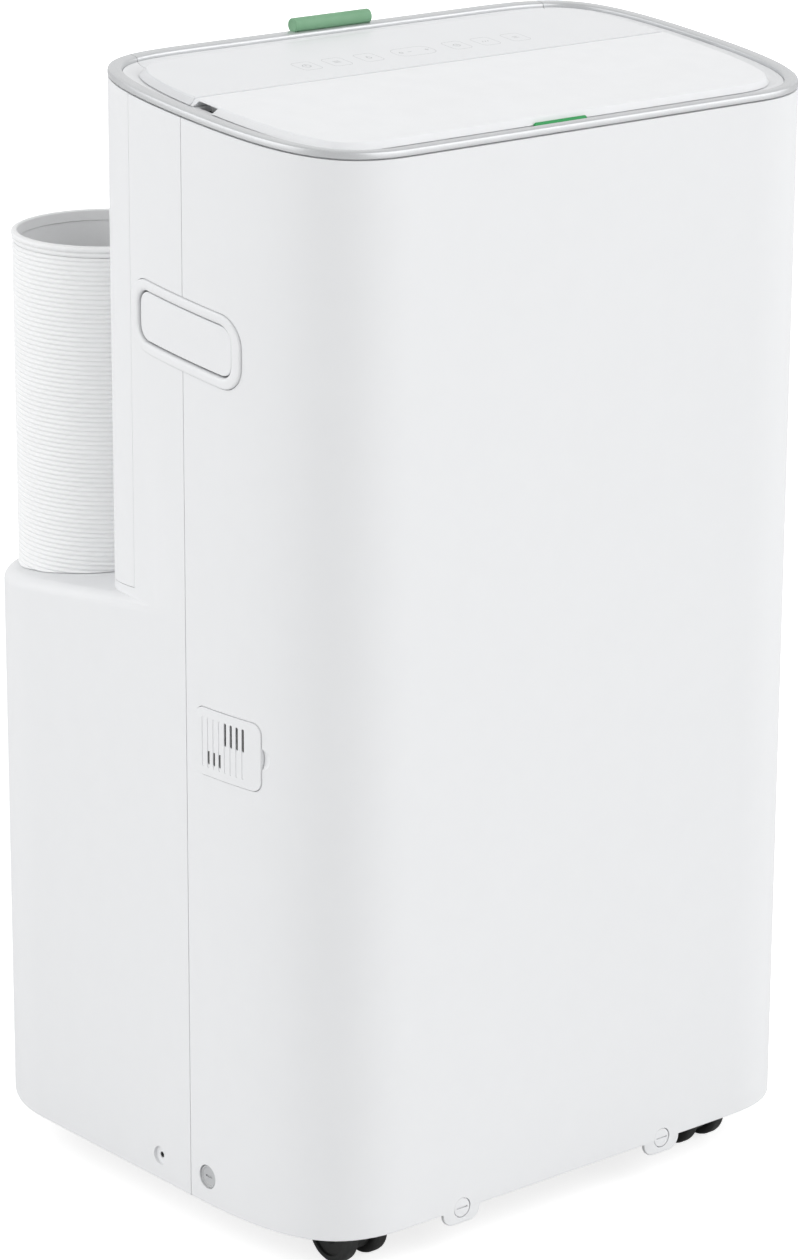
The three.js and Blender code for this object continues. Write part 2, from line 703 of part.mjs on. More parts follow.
// ---- side handles, mirrored ----
const halfTurn = { left: -1, right: 1 };
const flapPlan = (grow) => handleOutline(flapLength, flapHeight, flapCorner, grow);

function handleCup(side) {
  const [x0, x1] = spanAt(side, 0, far);
  const bezel = sideBand(-bezelProud, 6, 500, 700).intersect(sidePrism(handleHole(0), x0, x1));
  const back = halfWidth - wall - pocketDepth;
  const outer = sidePrism(flapPlan(flapGap + 3), ...spanAt(side, back, halfWidth - 7));
  const inner = sidePrism(flapPlan(flapGap), ...spanAt(side, back + 2, far));
  return cut(join(bezel, outer), inner);
}

function handleFlap(side) {
  const [x0, x1] = spanAt(side, 0, far);
  return sideBand(fit, fit + flapThickness, 500, 700).intersect(sidePrism(flapPlan(0), x0, x1));
}
for (const [name, side] of Object.entries(halfTurn)) {
  piece(`handle_cup_${name}`, handleCup(side), shellWhite);
  piece(`handle_flap_${name}`, handleFlap(side), shellWhite);
}

// ---- sensor cover ----
function sensorCover() {
  let cover = sideBand(-sensorProud, wall, 200, 500).intersect(sidePrism(sensorPlate(0), -far, 0));
  const border = 7; // plain edge round the grooves
  const pitch = (sensorLength - 2 * border) / (grooveCount - 1);
  const top = sensorFoot + sensorHeight;
  for (let i = 0; i < grooveCount; i++) {
    const y = sensorFront + border + i * pitch;
    const across = [-far, 0, y - grooveWidth / 2, y + grooveWidth / 2];
    const groove = box(...across, sensorFoot + border - 2, top - border + 2);
    cover = cover.subtract(cut(groove, prism(upperPlan(grooveDepth - sensorProud), 0, far)));
    const above = [sensorMiddle + 2, top - border];
    const below = [sensorFoot + border, sensorMiddle - 5];
    if (i === grooveCount - 1) continue;
    cover = cover.subtract(box(...across, ...(i < upperSlots ? above : below)));
  }
  return cover;
}
piece("sensor_cover", sensorCover(), shellWhite);
function roomSensor() {
  const probe = rod("z", [-halfWidth + 16, sensorCentre, sensorFoot + 8], 26, 3, 12);
  const clip = [sensorCentre - 5, sensorCentre + 5, sensorFoot + 4, sensorFoot + 9];
  return probe.add(box(-halfWidth + 14, -halfWidth + 26, ...clip));
}
piece("room_sensor", roomSensor(), darkPlastic);

// ---- exhaust hose on the step ----
const hoseFoot = ledgeAt(hoseDepth - hoseRadius) + 0.6;
const hoseTop = hoseFoot + hoseLength + socketHeight;
const boreRadius = hoseRadius - 7;
function hoseSocket() {
  const low = ledgeAt(hoseDepth + hoseRadius) - 20;
  const flange = rod("z", [hoseX, hoseDepth, hoseFoot - 8], socketHeight + 8, hoseRadius - 0.2, 24);
  const spigot = rod("z", [hoseX, hoseDepth, low], hoseFoot + 20 - low, boreRadius + socketLap, 20);
  const bore = rod("z", [hoseX, hoseDepth, 0], far, boreRadius, 20);
  const below = onLedge(box(-far, far, -far, far, -far, 0.4));
  return cut(join(cut(flange, below), spigot), bore);
}
piece("hose_socket", hoseSocket(), shellWhite);

const tube = (outer, inner, low, high, sides = 24) =>
  cut(
    rod("z", [hoseX, hoseDepth, low], high - low, outer, sides),
    rod("z", [hoseX, hoseDepth, low - 1], high - low + 2, inner, sides),
  );
const hoseStart = hoseFoot + socketHeight + fit;
const hoseEnd = hoseTop - collarHeight - fit;
const hoseInner = hoseRadius - hoseWall - 2;
piece("exhaust_hose", tube(hoseRadius, hoseInner, hoseStart, hoseEnd), shellWhite);
piece("hose_collar", tube(hoseRadius + 0.6, hoseInner - 1, hoseTop - collarHeight, hoseTop), shellWhite);

// ---- refrigerant circuit ----
// A fin pack seen from above as a comb, with an end plate at each side.
function finPack(width, depth, thickness, foot, height) {
  const half = width / 2;
  const core = box(-half, half, depth + thickness / 3, depth + (2 * thickness) / 3, foot, foot + height);
  const points = [];
  const count = Math.floor((width - 2 * finThickness) / coilPitch);
  const spine = depth + thickness * 0.4;
  points.push(v2(-half, spine));
  points.push(v2(-half, depth));
  for (let i = 0; i < count; i++) {
    const x = -half + finThickness + i * coilPitch;
    const next = x + coilPitch - finThickness;
    points.push(v2(x, depth), v2(x, spine), v2(next, spine), v2(next, depth));
  }
  points.push(v2(half, depth), v2(half, spine));
  points.push(v2(half, depth + thickness), v2(-half, depth + thickness));
  return join(core, prism(points, foot, foot + height));
}

function bends(x, depth, thickness, foot, height, turn) {
  const count = 3;
  let all = null;
  for (let i = 0; i < count; i++) {
    const z = foot + ((i + 0.5) * height) / count;
    const round = new THREE.TorusGeometry(11, 3.5, 5, 6).rotateX(Math.PI / 2);
    const one = solid(round.translate(x + turn, depth + thickness / 2, z));
    const [x0, x1] = turn > 0 ? [x - 0.5, far] : [-far, x + 0.5];
    const kept = one.intersect(box(x0, x1, 0, far, 0, far));
    all = all ? all.add(kept) : kept;
  }
  return all;
}

function coil(width, depth, thickness, foot, height) {
  const size = [depth, thickness, foot, height];
  return join(finPack(width, ...size), bends(width / 2, ...size, 1), bends(-width / 2, ...size, -1));
}
const evaporatorSize = [coilWidth, evaporatorDepth, evaporatorThickness, evaporatorFoot, evaporatorHeight];
const condenserSize = [condenserWidth, condenserDepth, condenserThickness, condenserFoot, condenserHeight];
piece("evaporator_coil", coil(...evaporatorSize), finAluminium);
piece("condenser_coil", coil(...condenserSize), finAluminium);

const compressorFoot = panFloor + panThickness + 8;
const tankRadius = 24; // accumulator
const tankHeight = 130;
const tankLift = 60;
const tankX = compressorX - compressorRadius - tankRadius - 6;
const footCount = 3;

function lathed(profile, sides, x, depth, z) {
  return solid(new THREE.LatheGeometry(profile, sides).rotateX(Math.PI / 2).translate(x, depth, z));
}

function compressor() {
  const h = compressorHeight;
  const r = compressorRadius;
  const dome = [v2(r, h - 24), v2(r - 12, h - 8), v2(r - 34, h), v2(0, h)];
  const profile = [v2(0, 0), v2(r - 18, 0), v2(r, 14), ...dome];
  const t = tankRadius;
  const end = tankHeight;
  const tankProfile = [v2(0, 0), v2(t - 10, 0), v2(t, 12), v2(t, end - 12), v2(t - 12, end), v2(0, end)];
  const can = lathed(profile, 20, compressorX, compressorDepth, compressorFoot);
  const tank = lathed(tankProfile, 14, tankX, compressorDepth, compressorFoot + tankLift);
  const strapFoot = compressorFoot + tankLift + 40;
  const strapEnd = compressorX - r + 8;
  const strapSize = [compressorDepth - 8, compressorDepth + 8, strapFoot, strapFoot + 16];
  const strap = box(strapEnd - 20, strapEnd, ...strapSize);
  let whole = join(can, tank, strap);
  for (let i = 0; i < footCount; i++) {
    const angle = Math.PI / 2 + (i * 2 * Math.PI) / footCount;
    const reach = (distance) => [
      compressorX + distance * Math.cos(angle),
      compressorDepth + distance * Math.sin(angle),
    ];
    const [x, y] = reach(r + 10);
    const [midX, midY] = reach(r - 6);
    const across = [Math.min(x, midX) - 5, Math.max(x, midX) + 5];
    const back = [Math.min(y, midY) - 5, Math.max(y, midY) + 5];
    const post = rod("z", [x, y, compressorFoot - 8 + fit], 14, 9, 16);
    whole = join(whole, post, box(...across, ...back, compressorFoot + 2, compressorFoot + 6));
  }
  return whole;
}
piece("compressor", compressor(), { color: 0x26282b, roughness: 0.4, metalness: 0.4 });

function pipe(points, radius) {
  const route = points.map((p) => new THREE.Vector3(...p));
  const path = new THREE.CatmullRomCurve3(route, false, "centripetal");
  const section = new THREE.Shape();
  for (let i = 0; i < 6; i++) {
    const [u, v] = [radius * Math.cos((i * Math.PI) / 3), radius * Math.sin((i * Math.PI) / 3)];
    if (i === 0) section.moveTo(u, v);
    else section.lineTo(u, v);
  }
  return solid(new THREE.ExtrudeGeometry(section, { steps: 14, extrudePath: path }));
}
const compressorTop = compressorFoot + compressorHeight;
piece(
  "discharge_pipe",
  pipe(
    [
      [compressorX + 10, compressorDepth, compressorTop + 0.6],
      [compressorX + 10, compressorDepth, compressorTop + 26],
      [compressorX + 30, compressorDepth + 40, compressorTop + 42],
      [compressorX + 30, compressorDepth + 160, compressorTop + 42],
      [compressorX + 30, condenserDepth + condenserThickness / 2, compressorTop + 38],
      [compressorX + 30, condenserDepth + condenserThickness / 2, condenserFoot + condenserHeight + 0.8],
    ],
    4,
  ),
  copper,
);
piece(
  "suction_pipe",
  pipe(
    [
      [tankX, compressorDepth, compressorFoot + tankLift + tankHeight + 0.8],
      [tankX, compressorDepth, compressorFoot + 230],
      [tankX + 40, compressorDepth + 30, compressorFoot + 270],
      [coilWidth / 2 + 24, compressorDepth + 40, compressorFoot + 330],
      [coilWidth / 2 + 28, evaporatorDepth, evaporatorFoot + 20],
      [coilWidth / 2 + 22, evaporatorDepth + evaporatorThickness / 2, evaporatorFoot + 60],
    ],
    5,
  ),
  copper,
);

// ---- drip tray under the evaporator ----
const trayFoot = evaporatorFoot - 22;
function dripTray() {
  const half = coilWidth / 2 + 8;
  const [y0, y1] = [evaporatorDepth - 8, filterFront - fit - 1];
  const block = box(-half, half, y0, y1, trayFoot, trayFoot + 20);
  return cut(block, box(-half + 2, half - 2, y0 + 2, y1 - 2, trayFoot + 2, far));
}
piece("drip_tray", dripTray(), shellWhite);

// ---- blowers: wheel, scroll housing, motor ----
const scrollEnd = 6; // scroll's front wall to the wheel
const motorGap = 6; // motor face to the scroll
const motorNose = 4;
const shaftReach = scrollEnd + motorGap - motorNose - fit;
function blowerWheel(x, depth, z, radius, width) {
  const backPlate = rod("y", [x, depth, z], 2.5, radius, 20);
  const frontRing = cut(
    rod("y", [x, depth + width - 3, z], 3, radius, 20),
    rod("y", [x, depth, z], width + 10, radius * 0.84, 20),
  );
  const hub = rod("y", [x, depth, z], 22, 12, 16);
  const shaft = rod("y", [x, depth - shaftReach, z], shaftReach + 1, 4, 12);
  let wheel = join(backPlate, frontRing, hub, shaft);
  for (let i = 0; i < bladeCount; i++) {
    const blade = new THREE.BoxGeometry(radius * 0.14, width - 2, 1.6);
    blade.rotateY(0.6).translate(radius * 0.915, 0, 0).rotateY((i * 2 * Math.PI) / bladeCount);
    wheel = wheel.add(solid(blade.translate(x, depth + width / 2, z)));
  }
  return wheel;
}

// A drum round the wheel with an upward outlet; the inlet is a round hole at the back.
function scroll(x, depth, z, radius, width, mouth, top) {
  const skin = 2;
  const drum = radius + scrollGap;
  const outer = join(
    rod("y", [x, depth, z], width, drum, 20),
    box(mouth[0], mouth[1], depth, depth + width, z, top),
  );
  const hollow = join(
    rod("y", [x, depth + skin, z], width - 2 * skin, drum - skin, 20),
    box(mouth[0] + skin, mouth[1] - skin, depth + skin, depth + width - skin, z, top + 10),
  );
  const inlet = rod("y", [x, depth + width / 2, z], width, radius * 0.8, 16);
  const shaft = rod("y", [x, depth - 10, z], width, 8, 16);
  return cut(outer, hollow, inlet, shaft);
}

function motor(x, y1, z, radius, length) {
  const can = rod("y", [x, y1 - length, z], length, radius, 24);
  const nose = rod("y", [x, y1 - 1, z], motorNose + 1, radius * 0.4, 20);
  return join(can, nose);
}

const ductFoot = fanHeight + fanRadius + scrollGap + 4;
const evaporatorMouth = [-fanRadius - scrollGap, fanRadius - 20];
const evaporatorScrollDepth = fanDepth - scrollEnd;
piece("evaporator_blower", blowerWheel(0, fanDepth, fanHeight, fanRadius, fanWidth), darkPlastic);
piece(
  "evaporator_housing",
  scroll(0, evaporatorScrollDepth, fanHeight, fanRadius, fanWidth + 14, evaporatorMouth, ductFoot - fit),
  softGrey,
);
piece("evaporator_motor", motor(0, evaporatorScrollDepth - motorGap, fanHeight, 44, 56), steel);

const exhaustScrollDepth = exhaustFanDepth - scrollEnd;
const exhaustMouth = [hoseX - hoseRadius + 5, hoseX + hoseRadius - 5];
const plenumFoot = exhaustFanHeight + exhaustFanRadius + scrollGap + 30;
piece(
  "condenser_blower",
  blowerWheel(exhaustFanX, exhaustFanDepth, exhaustFanHeight, exhaustFanRadius, exhaustFanWidth),
  darkPlastic,
);
function condenserHousing() {
  const top = ledgeAt(hoseDepth + hoseRadius) - 22;
  const width = exhaustFanWidth + 14;
  const centre = [exhaustFanX, exhaustScrollDepth, exhaustFanHeight];
  const body = scroll(...centre, exhaustFanRadius, width, exhaustMouth, plenumFoot);
  const plenum = rod("z", [hoseX, hoseDepth, plenumFoot - 2], top - plenumFoot + 2, hoseRadius - 3, 20);
  const inside = rod("z", [hoseX, hoseDepth, plenumFoot + 2], far, hoseRadius - 5, 20);
  const across = [exhaustMouth[0] + 14, exhaustMouth[1] - 14];
  const deep = [exhaustScrollDepth + 10, exhaustScrollDepth + width - 2];
  const throat = box(...across, ...deep, plenumFoot - 20, plenumFoot + 6);
  return cut(join(body, plenum), inside, throat);
}
piece("condenser_housing", condenserHousing(), softGrey);
const exhaustMotor = motor(exhaustFanX, exhaustScrollDepth - motorGap, exhaustFanHeight, 42, 54);
piece("condenser_motor", exhaustMotor, steel);

// ---- outlet duct with guide vanes ----
const vaneCount = 3;
const vanePitch = 80;
const vaneHeight = 22;
const vaneChord = 58;
const barDepth = outletFront + outletDepth / 2;
function outletDuct() {
  const skin = 2;
  const ductTop = onTop(box(-far, far, -far, far, deckFloor - fit, far));
  const outer = outlet(skin, ductFoot, bodyHeight);
  const inner = outlet(0, 0, far);
  const barHalf = outletWidth / 2 + 1;
  const bar = box(-barHalf, barHalf, barDepth - 4, barDepth + 4, ductFoot, ductFoot + 4);
  let duct = cut(join(cut(outer, inner), bar), ductTop);
  for (let i = 0; i < vaneCount; i++) {
    const x = (i - (vaneCount - 1) / 2) * vanePitch;
    duct = duct.subtract(rod("z", [x, barDepth, ductFoot + 1], 20, pinRadius + 0.3, 12));
  }
  return duct;
}
piece("outlet_duct", outletDuct(), darkPlastic);
for (let i = 0; i < vaneCount; i++) {
  const x = (i - (vaneCount - 1) / 2) * vanePitch;
  const foot = ductFoot + 4 + fit;
  const half = vaneChord / 2;
  const blade = box(x - 1, x + 1, barDepth - half, barDepth + half, foot, foot + vaneHeight);
  const pin = rod("z", [x, barDepth, ductFoot + 1 + fit], 6, pinRadius, 12);
  piece(`guide_vane_${i + 1}`, join(blade, pin), darkPlastic);
}

// ---- flap motor and control box ----
const flapMotorX = outletWidth / 2 + 9;
const flapMotorHeight = topAt(flapAxisDepth) - 34;
function flapMotor() {
  const can = rod("x", [flapMotorX, flapAxisDepth, flapMotorHeight], 18, 13, 20);
  const ears = [flapAxisDepth - 17, flapAxisDepth + 17, flapMotorHeight - 4, flapMotorHeight + 4];
  return can.add(box(flapMotorX, flapMotorX + 3, ...ears));
}
piece("flap_motor", flapMotor(), steel);

const boxWidth = 140;
const boxDepth = 66;
const boxHeight = 190;
const sheet = 2;
function controlBox() {
  const low = panFloor + panThickness + 30;
  const left = -halfWidth + 26;
  const front = 30;
  const outer = box(left, left + boxWidth, front, front + boxDepth, low, low + boxHeight);
  const across = [left + sheet, left + boxWidth - sheet];
  const deep = [front + sheet, front + boxDepth - sheet];
  const cavity = box(...across, ...deep, low + sheet, low + boxHeight + 10);
  const board = box(left + 8, left + 94, front + 1, front + 6, low + 1, low + 150);
  const capacitor = rod("z", [left + 114, front + boxDepth / 2, low + 1], 80, 17, 20);
  return join(cut(outer, cavity), board, capacitor);
}
piece("control_box", controlBox(), steel);

export default cabinet;
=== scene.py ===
# Portable air conditioner on casters, modelled in millimetres from the middle of its front.
import math

import bmesh
import bpy
from mathutils import Matrix, Vector


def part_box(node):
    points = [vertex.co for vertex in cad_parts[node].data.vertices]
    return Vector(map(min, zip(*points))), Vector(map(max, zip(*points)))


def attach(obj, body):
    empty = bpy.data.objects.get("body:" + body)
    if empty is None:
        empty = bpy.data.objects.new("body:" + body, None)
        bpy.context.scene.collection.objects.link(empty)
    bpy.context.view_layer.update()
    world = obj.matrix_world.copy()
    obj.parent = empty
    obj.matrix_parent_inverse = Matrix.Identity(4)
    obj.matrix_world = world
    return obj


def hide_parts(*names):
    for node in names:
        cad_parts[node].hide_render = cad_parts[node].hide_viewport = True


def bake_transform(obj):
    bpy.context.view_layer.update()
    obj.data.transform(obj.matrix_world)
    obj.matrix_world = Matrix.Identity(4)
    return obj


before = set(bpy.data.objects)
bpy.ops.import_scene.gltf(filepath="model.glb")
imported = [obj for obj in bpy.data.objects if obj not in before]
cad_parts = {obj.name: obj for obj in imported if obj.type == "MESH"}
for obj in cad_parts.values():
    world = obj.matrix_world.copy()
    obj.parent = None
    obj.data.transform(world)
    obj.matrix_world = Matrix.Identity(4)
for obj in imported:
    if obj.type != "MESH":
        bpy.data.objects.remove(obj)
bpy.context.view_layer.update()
scene = bpy.context.scene
scene.view_settings.view_transform = "Standard"

# ---- the frame's own sizes, in millimetres ----
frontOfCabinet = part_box("front_shell")[0].y
toFrame = Matrix.Translation((0, frontOfCabinet, 0)) @ Matrix.Scale(0.001, 4)


def extent(node):
    # lowest and highest corner of a CAD node, in this script's millimetres
    low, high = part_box(node)
    back = toFrame.inverted()
    return back @ low, back @ high


rimLow, rimHigh = extent("top_rim")
shellLow, shellHigh = extent("rear_shell")
coverHigh = extent("rear_upper_cover")[1]

cabinet = {
    "rimHeight": 4.5,
    "wall": 2.5,
    "seamDepth": 126.0,  # front shell to rear shell
    "coverSeam": 182.7,  # rear shell to rear upper cover
    "seamGap": 0.36,
    "frontReach": 73.7,  # front corner, across
    "frontRun": 121.5,  # front corner, back
    "rearReach": 100.0,  # upper rear corner, across
    "lowerCorner": 90.0,  # lower rear corner radius
    "ledgeHeight": 388.9,
    "ledgeSlope": 0.117,
    "ledgeFillet": 8.0,
    "coverLift": 6.0,
    "footSoftness": 1.4,
}
halfWidth = shellHigh.x
upperDepth = coverHigh.y
bodyDepth = shellHigh.y
foot = shellLow.z
topHeight = rimHigh.z
topSlope = (rimHigh.z - rimLow.z - cabinet["rimHeight"]) / upperDepth
fit = 0.4


def onTop(drop):
    return lambda depth: topHeight - topSlope * (upperDepth - depth) + drop


def onLedge(rise):
    return lambda depth: cabinet["ledgeHeight"] + cabinet["ledgeSlope"] * (bodyDepth - depth) + rise


def level(height):
    return lambda depth: height


# ---- small helpers for bmesh work ----
def bezier(points, t):
    # a point of a cubic curve and its direction
    a, b, c, d = points
    s = 1 - t
    at = a * s**3 + b * 3 * s * s * t + c * 3 * s * t * t + d * t**3
    along = (b - a) * s * s + (c - b) * 2 * s * t + (d - c) * t * t
    return at, along.normalized()


def cornerCurves(rear):
    reach, run = cabinet["frontReach"], cabinet["frontRun"]
    front = [
        (halfWidth - reach, 0), (halfWidth - 0.2 * reach, 0), (halfWidth, 0.305 * run), (halfWidth, run),
    ]
    if rear == "upper":
        reach = cabinet["rearReach"]
        behind = upperDepth - 0.054 * (upperDepth - run)
        back = [
            (halfWidth, run), (halfWidth, behind), (halfWidth - 0.252 * reach, upperDepth),
            (halfWidth - reach, upperDepth),
        ]
    else:
        radius = cabinet["lowerCorner"]
        handle = 0.448 * radius
        back = [
            (halfWidth, bodyDepth - radius), (halfWidth, bodyDepth - handle),
            (halfWidth - handle, bodyDepth), (halfWidth - radius, bodyDepth),
        ]
    return [[Vector(p) for p in curve] for curve in (front, back)]


def planRing(inset, height, rear="upper", steps=20):
    # the cabinet's outline seen from above, moved inwards; inset and height may follow the depth
    insetAt = inset if callable(inset) else level(inset)
    right, last = [], None
    for curve in cornerCurves(rear):
        for k in range(steps + 1):
            at, along = bezier(curve, k / steps)
            if last and (at - last).length < 0.05:
                continue
            move, last = insetAt(at.y), at
            right.append((at.x - along.y * move, at.y + along.x * move))
    outline = right + [(-x, y) for x, y in reversed(right)]
    return [Vector((x, y, height(y))) for x, y in outline]


def loft(rings, closed=False):
    # a ring of edges drawn out from ring to ring; the two ends are capped unless it closes on itself
    bm = bmesh.new()
    verts = [bm.verts.new(p) for p in rings[0]]
    edges = [bm.edges.new((verts[i - 1], verts[i])) for i in range(len(verts))]
    first = edges
    for ring in rings[1:] + (rings[:1] if closed else []):
        made = bmesh.ops.extrude_edge_only(bm, edges=edges)["geom"]
        fresh = {v for v in made if isinstance(v, bmesh.types.BMVert)}
        verts = [next(e.other_vert(v) for e in v.link_edges if e.other_vert(v) in fresh) for v in verts]
        for vert, point in zip(verts, ring):
            vert.co = point
        edges = [e for e in made if isinstance(e, bmesh.types.BMEdge) and fresh.issuperset(e.verts)]
    if closed:
        bmesh.ops.remove_doubles(bm, verts=bm.verts, dist=1e-5)
    else:
        for loop in (first, edges):
            bmesh.ops.edgeloop_fill(bm, edges=loop)
    bmesh.ops.recalc_face_normals(bm, faces=bm.faces)
    return bm


def block(x0, x1, y0, y1, z0, z1, soft=0.0, segments=2):
    bm = bmesh.new()
    size = Matrix.Diagonal((x1 - x0, y1 - y0, z1 - z0, 1))
    place = Matrix.Translation(((x0 + x1) / 2, (y0 + y1) / 2, (z0 + z1) / 2))
    bmesh.ops.create_cube(bm, size=1, matrix=place @ size)
    if soft:
        soften(bm, bm.edges[:], soft, segments)
    return bm


def soften(bm, edges, offset, segments=2):
    return bmesh.ops.bevel(
        bm, geom=edges, offset=offset, offset_type="OFFSET", segments=segments, profile=0.5,
        affect="EDGES", clamp_overlap=True, material=-1,
    )


def sharpEdges(bm, degrees=50):
    limit = math.radians(degrees)
    return [e for e in bm.edges if len(e.link_faces) == 2 and e.calc_face_angle(0) > limit]


def roundPlate(width, height, corner, thick, segments=8):
    # a plate with round corners, lying flat on z = 0, its middle at the origin
    bm = bmesh.new()
    bmesh.ops.create_grid(bm, x_segments=1, y_segments=1, size=0.5)
    bmesh.ops.scale(bm, vec=(width, height, 1), verts=bm.verts)
    bmesh.ops.bevel(
        bm, geom=bm.verts[:], offset=corner, offset_type="OFFSET", segments=segments, profile=0.5,
        affect="VERTICES", clamp_overlap=True, material=-1,
    )
    grown = bmesh.ops.extrude_face_region(bm, geom=bm.faces[:], use_keep_orig=True)
    upper = [v for v in grown["geom"] if isinstance(v, bmesh.types.BMVert)]
    bmesh.ops.translate(bm, vec=(0, 0, thick), verts=upper)
    bmesh.ops.recalc_face_normals(bm, faces=bm.faces)
    return bm


def turned(profile, steps=48):
    # a profile of (radius, height) spun about Z; it starts and ends on the axis or closes on itself
    bm = bmesh.new()
    verts = [bm.verts.new((r, 0, z)) for r, z in profile]
    edges = [bm.edges.new(pair) for pair in zip(verts, verts[1:])]
    if profile[0][0] > 0 and profile[-1][0] > 0:
        edges.append(bm.edges.new((verts[-1], verts[0])))
    bmesh.ops.spin(
        bm, geom=verts + edges, cent=(0, 0, 0), axis=(0, 0, 1), angle=2 * math.pi, steps=steps,
        use_merge=True,
    )
    bmesh.ops.remove_doubles(bm, verts=bm.verts, dist=1e-4)
    bmesh.ops.recalc_face_normals(bm, faces=bm.faces)
    return bm


def moved(bm, matrix):
    bmesh.ops.transform(bm, matrix=matrix, verts=bm.verts)
    if matrix.determinant() < 0:
        bmesh.ops.reverse_faces(bm, faces=bm.faces)
    return bm


def shift(x, y, z):
    return Matrix.Translation((x, y, z))


alongX = Matrix.Rotation(math.pi / 2, 4, "Y")  # Z turned to +X
alongBack = Matrix.Rotation(-math.pi / 2, 4, "X")  # Z turned to +Y


def added(*bms):
    # several bodies in one bmesh
    whole = bms[0]
    for bm in bms[1:]:
        mesh = bpy.data.meshes.new("part")
        bm.to_mesh(mesh)
        whole.from_mesh(mesh)
        bpy.data.meshes.remove(mesh)
        bm.free()
    return whole


def combined(base, other, operation="DIFFERENCE"):
    # an exact boolean of two bmeshes
    blanks = []
    for bm in (base, other):
        mesh = bpy.data.meshes.new("blank")
        bm.to_mesh(mesh)
        bm.free()
        blanks.append(bpy.data.objects.new("blank", mesh))
        scene.collection.objects.link(blanks[-1])
    tool = blanks[0].modifiers.new("tool", "BOOLEAN")
    tool.object = blanks[1]
    tool.operation = operation
    tool.solver = "EXACT"
    graph = bpy.context.evaluated_depsgraph_get()
    graph.update()
    result = bpy.data.meshes.new_from_object(blanks[0].evaluated_get(graph))
    made = bmesh.new()
    made.from_mesh(result)
    for blank in blanks:
        mesh = blank.data
        bpy.data.objects.remove(blank)
        bpy.data.meshes.remove(mesh)
    bpy.data.meshes.remove(result)
    bmesh.ops.remove_doubles(made, verts=made.verts, dist=1e-3)
    bmesh.ops.dissolve_degenerate(made, edges=made.edges, dist=1e-4)
    return made


def sliced(bm, point, normal):
    # what lies against the normal is kept, and the cut is closed
    everything = bm.verts[:] + bm.edges[:] + bm.faces[:]
    bmesh.ops.bisect_plane(
        bm, geom=everything, plane_co=point, plane_no=normal, clear_outer=True, dist=1e-4,
    )
    rim = [e for e in bm.edges if e.is_boundary]
    bmesh.ops.edgeloop_fill(bm, edges=rim)
    bmesh.ops.recalc_face_normals(bm, faces=bm.faces)
    return bm


def piece(name, bm, body, material, stands=(), smooth=32, weighted=True):
    moved(bm, toFrame)
    mesh = bpy.data.meshes.new(name)
    bm.to_mesh(mesh)
    bm.free()
    mesh.materials.append(material)
    mesh.polygons.foreach_set("use_smooth", [True] * len(mesh.polygons))
    mesh.set_sharp_from_angle(angle=math.radians(smooth))
    thing = bpy.data.objects.new(name, mesh)
    scene.collection.objects.link(thing)
    if weighted:
        normals = thing.modifiers.new("normals", "WEIGHTED_NORMAL")
        normals.keep_sharp = True
        normals.weight = 100
    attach(thing, body)
    if stands:
        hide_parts(*stands)
    return thing


# ---- finishes ----
def newGroup(name, inputs, outputs):
    group = bpy.data.node_groups.new(name, "ShaderNodeTree")
    for label, kind, value in inputs:
        socket = group.interface.new_socket(name=label, in_out="INPUT", socket_type=kind)
        if value is not None:
            socket.default_value = value
    for label, kind in outputs:
        group.interface.new_socket(name=label, in_out="OUTPUT", socket_type=kind)
    source = group.nodes.new("NodeGroupInput")
    sink = group.nodes.new("NodeGroupOutput")
    return group, source, sink


def wire(tree, pairs):
    for start, end in pairs:
        tree.links.new(start, end)


def mathNode(tree, operation, a, b=None):
    node = tree.nodes.new("ShaderNodeMath")
    node.operation = operation
    for socket, value in zip(node.inputs, (a, b)):
        if value is None:
            continue
        if isinstance(value, (int, float)):
            socket.default_value = value
        else:
            tree.links.new(value, socket)
    return node.outputs[0]


def noiseNode(tree, vector, scale, detail=2.0, rough=0.5):
    node = tree.nodes.new("ShaderNodeTexNoise")
    tree.links.new(vector, node.inputs["Vector"])
    if isinstance(scale, (int, float)):
        node.inputs["Scale"].default_value = scale
    else:
        tree.links.new(scale, node.inputs["Scale"])
    node.inputs["Detail"].default_value = detail
    node.inputs["Roughness"].default_value = rough
    return node.outputs["Fac"]


def stretch(tree, value, low, high, outLow=0.0, outHigh=1.0):
    node = tree.nodes.new("ShaderNodeMapRange")
    node.interpolation_type = "SMOOTHSTEP"
    node.inputs["From Min"].default_value = low
    node.inputs["From Max"].default_value = high
    node.inputs["To Min"].default_value = outLow
    node.inputs["To Max"].default_value = outHigh
    tree.links.new(value, node.inputs["Value"])
    return node.outputs["Result"]


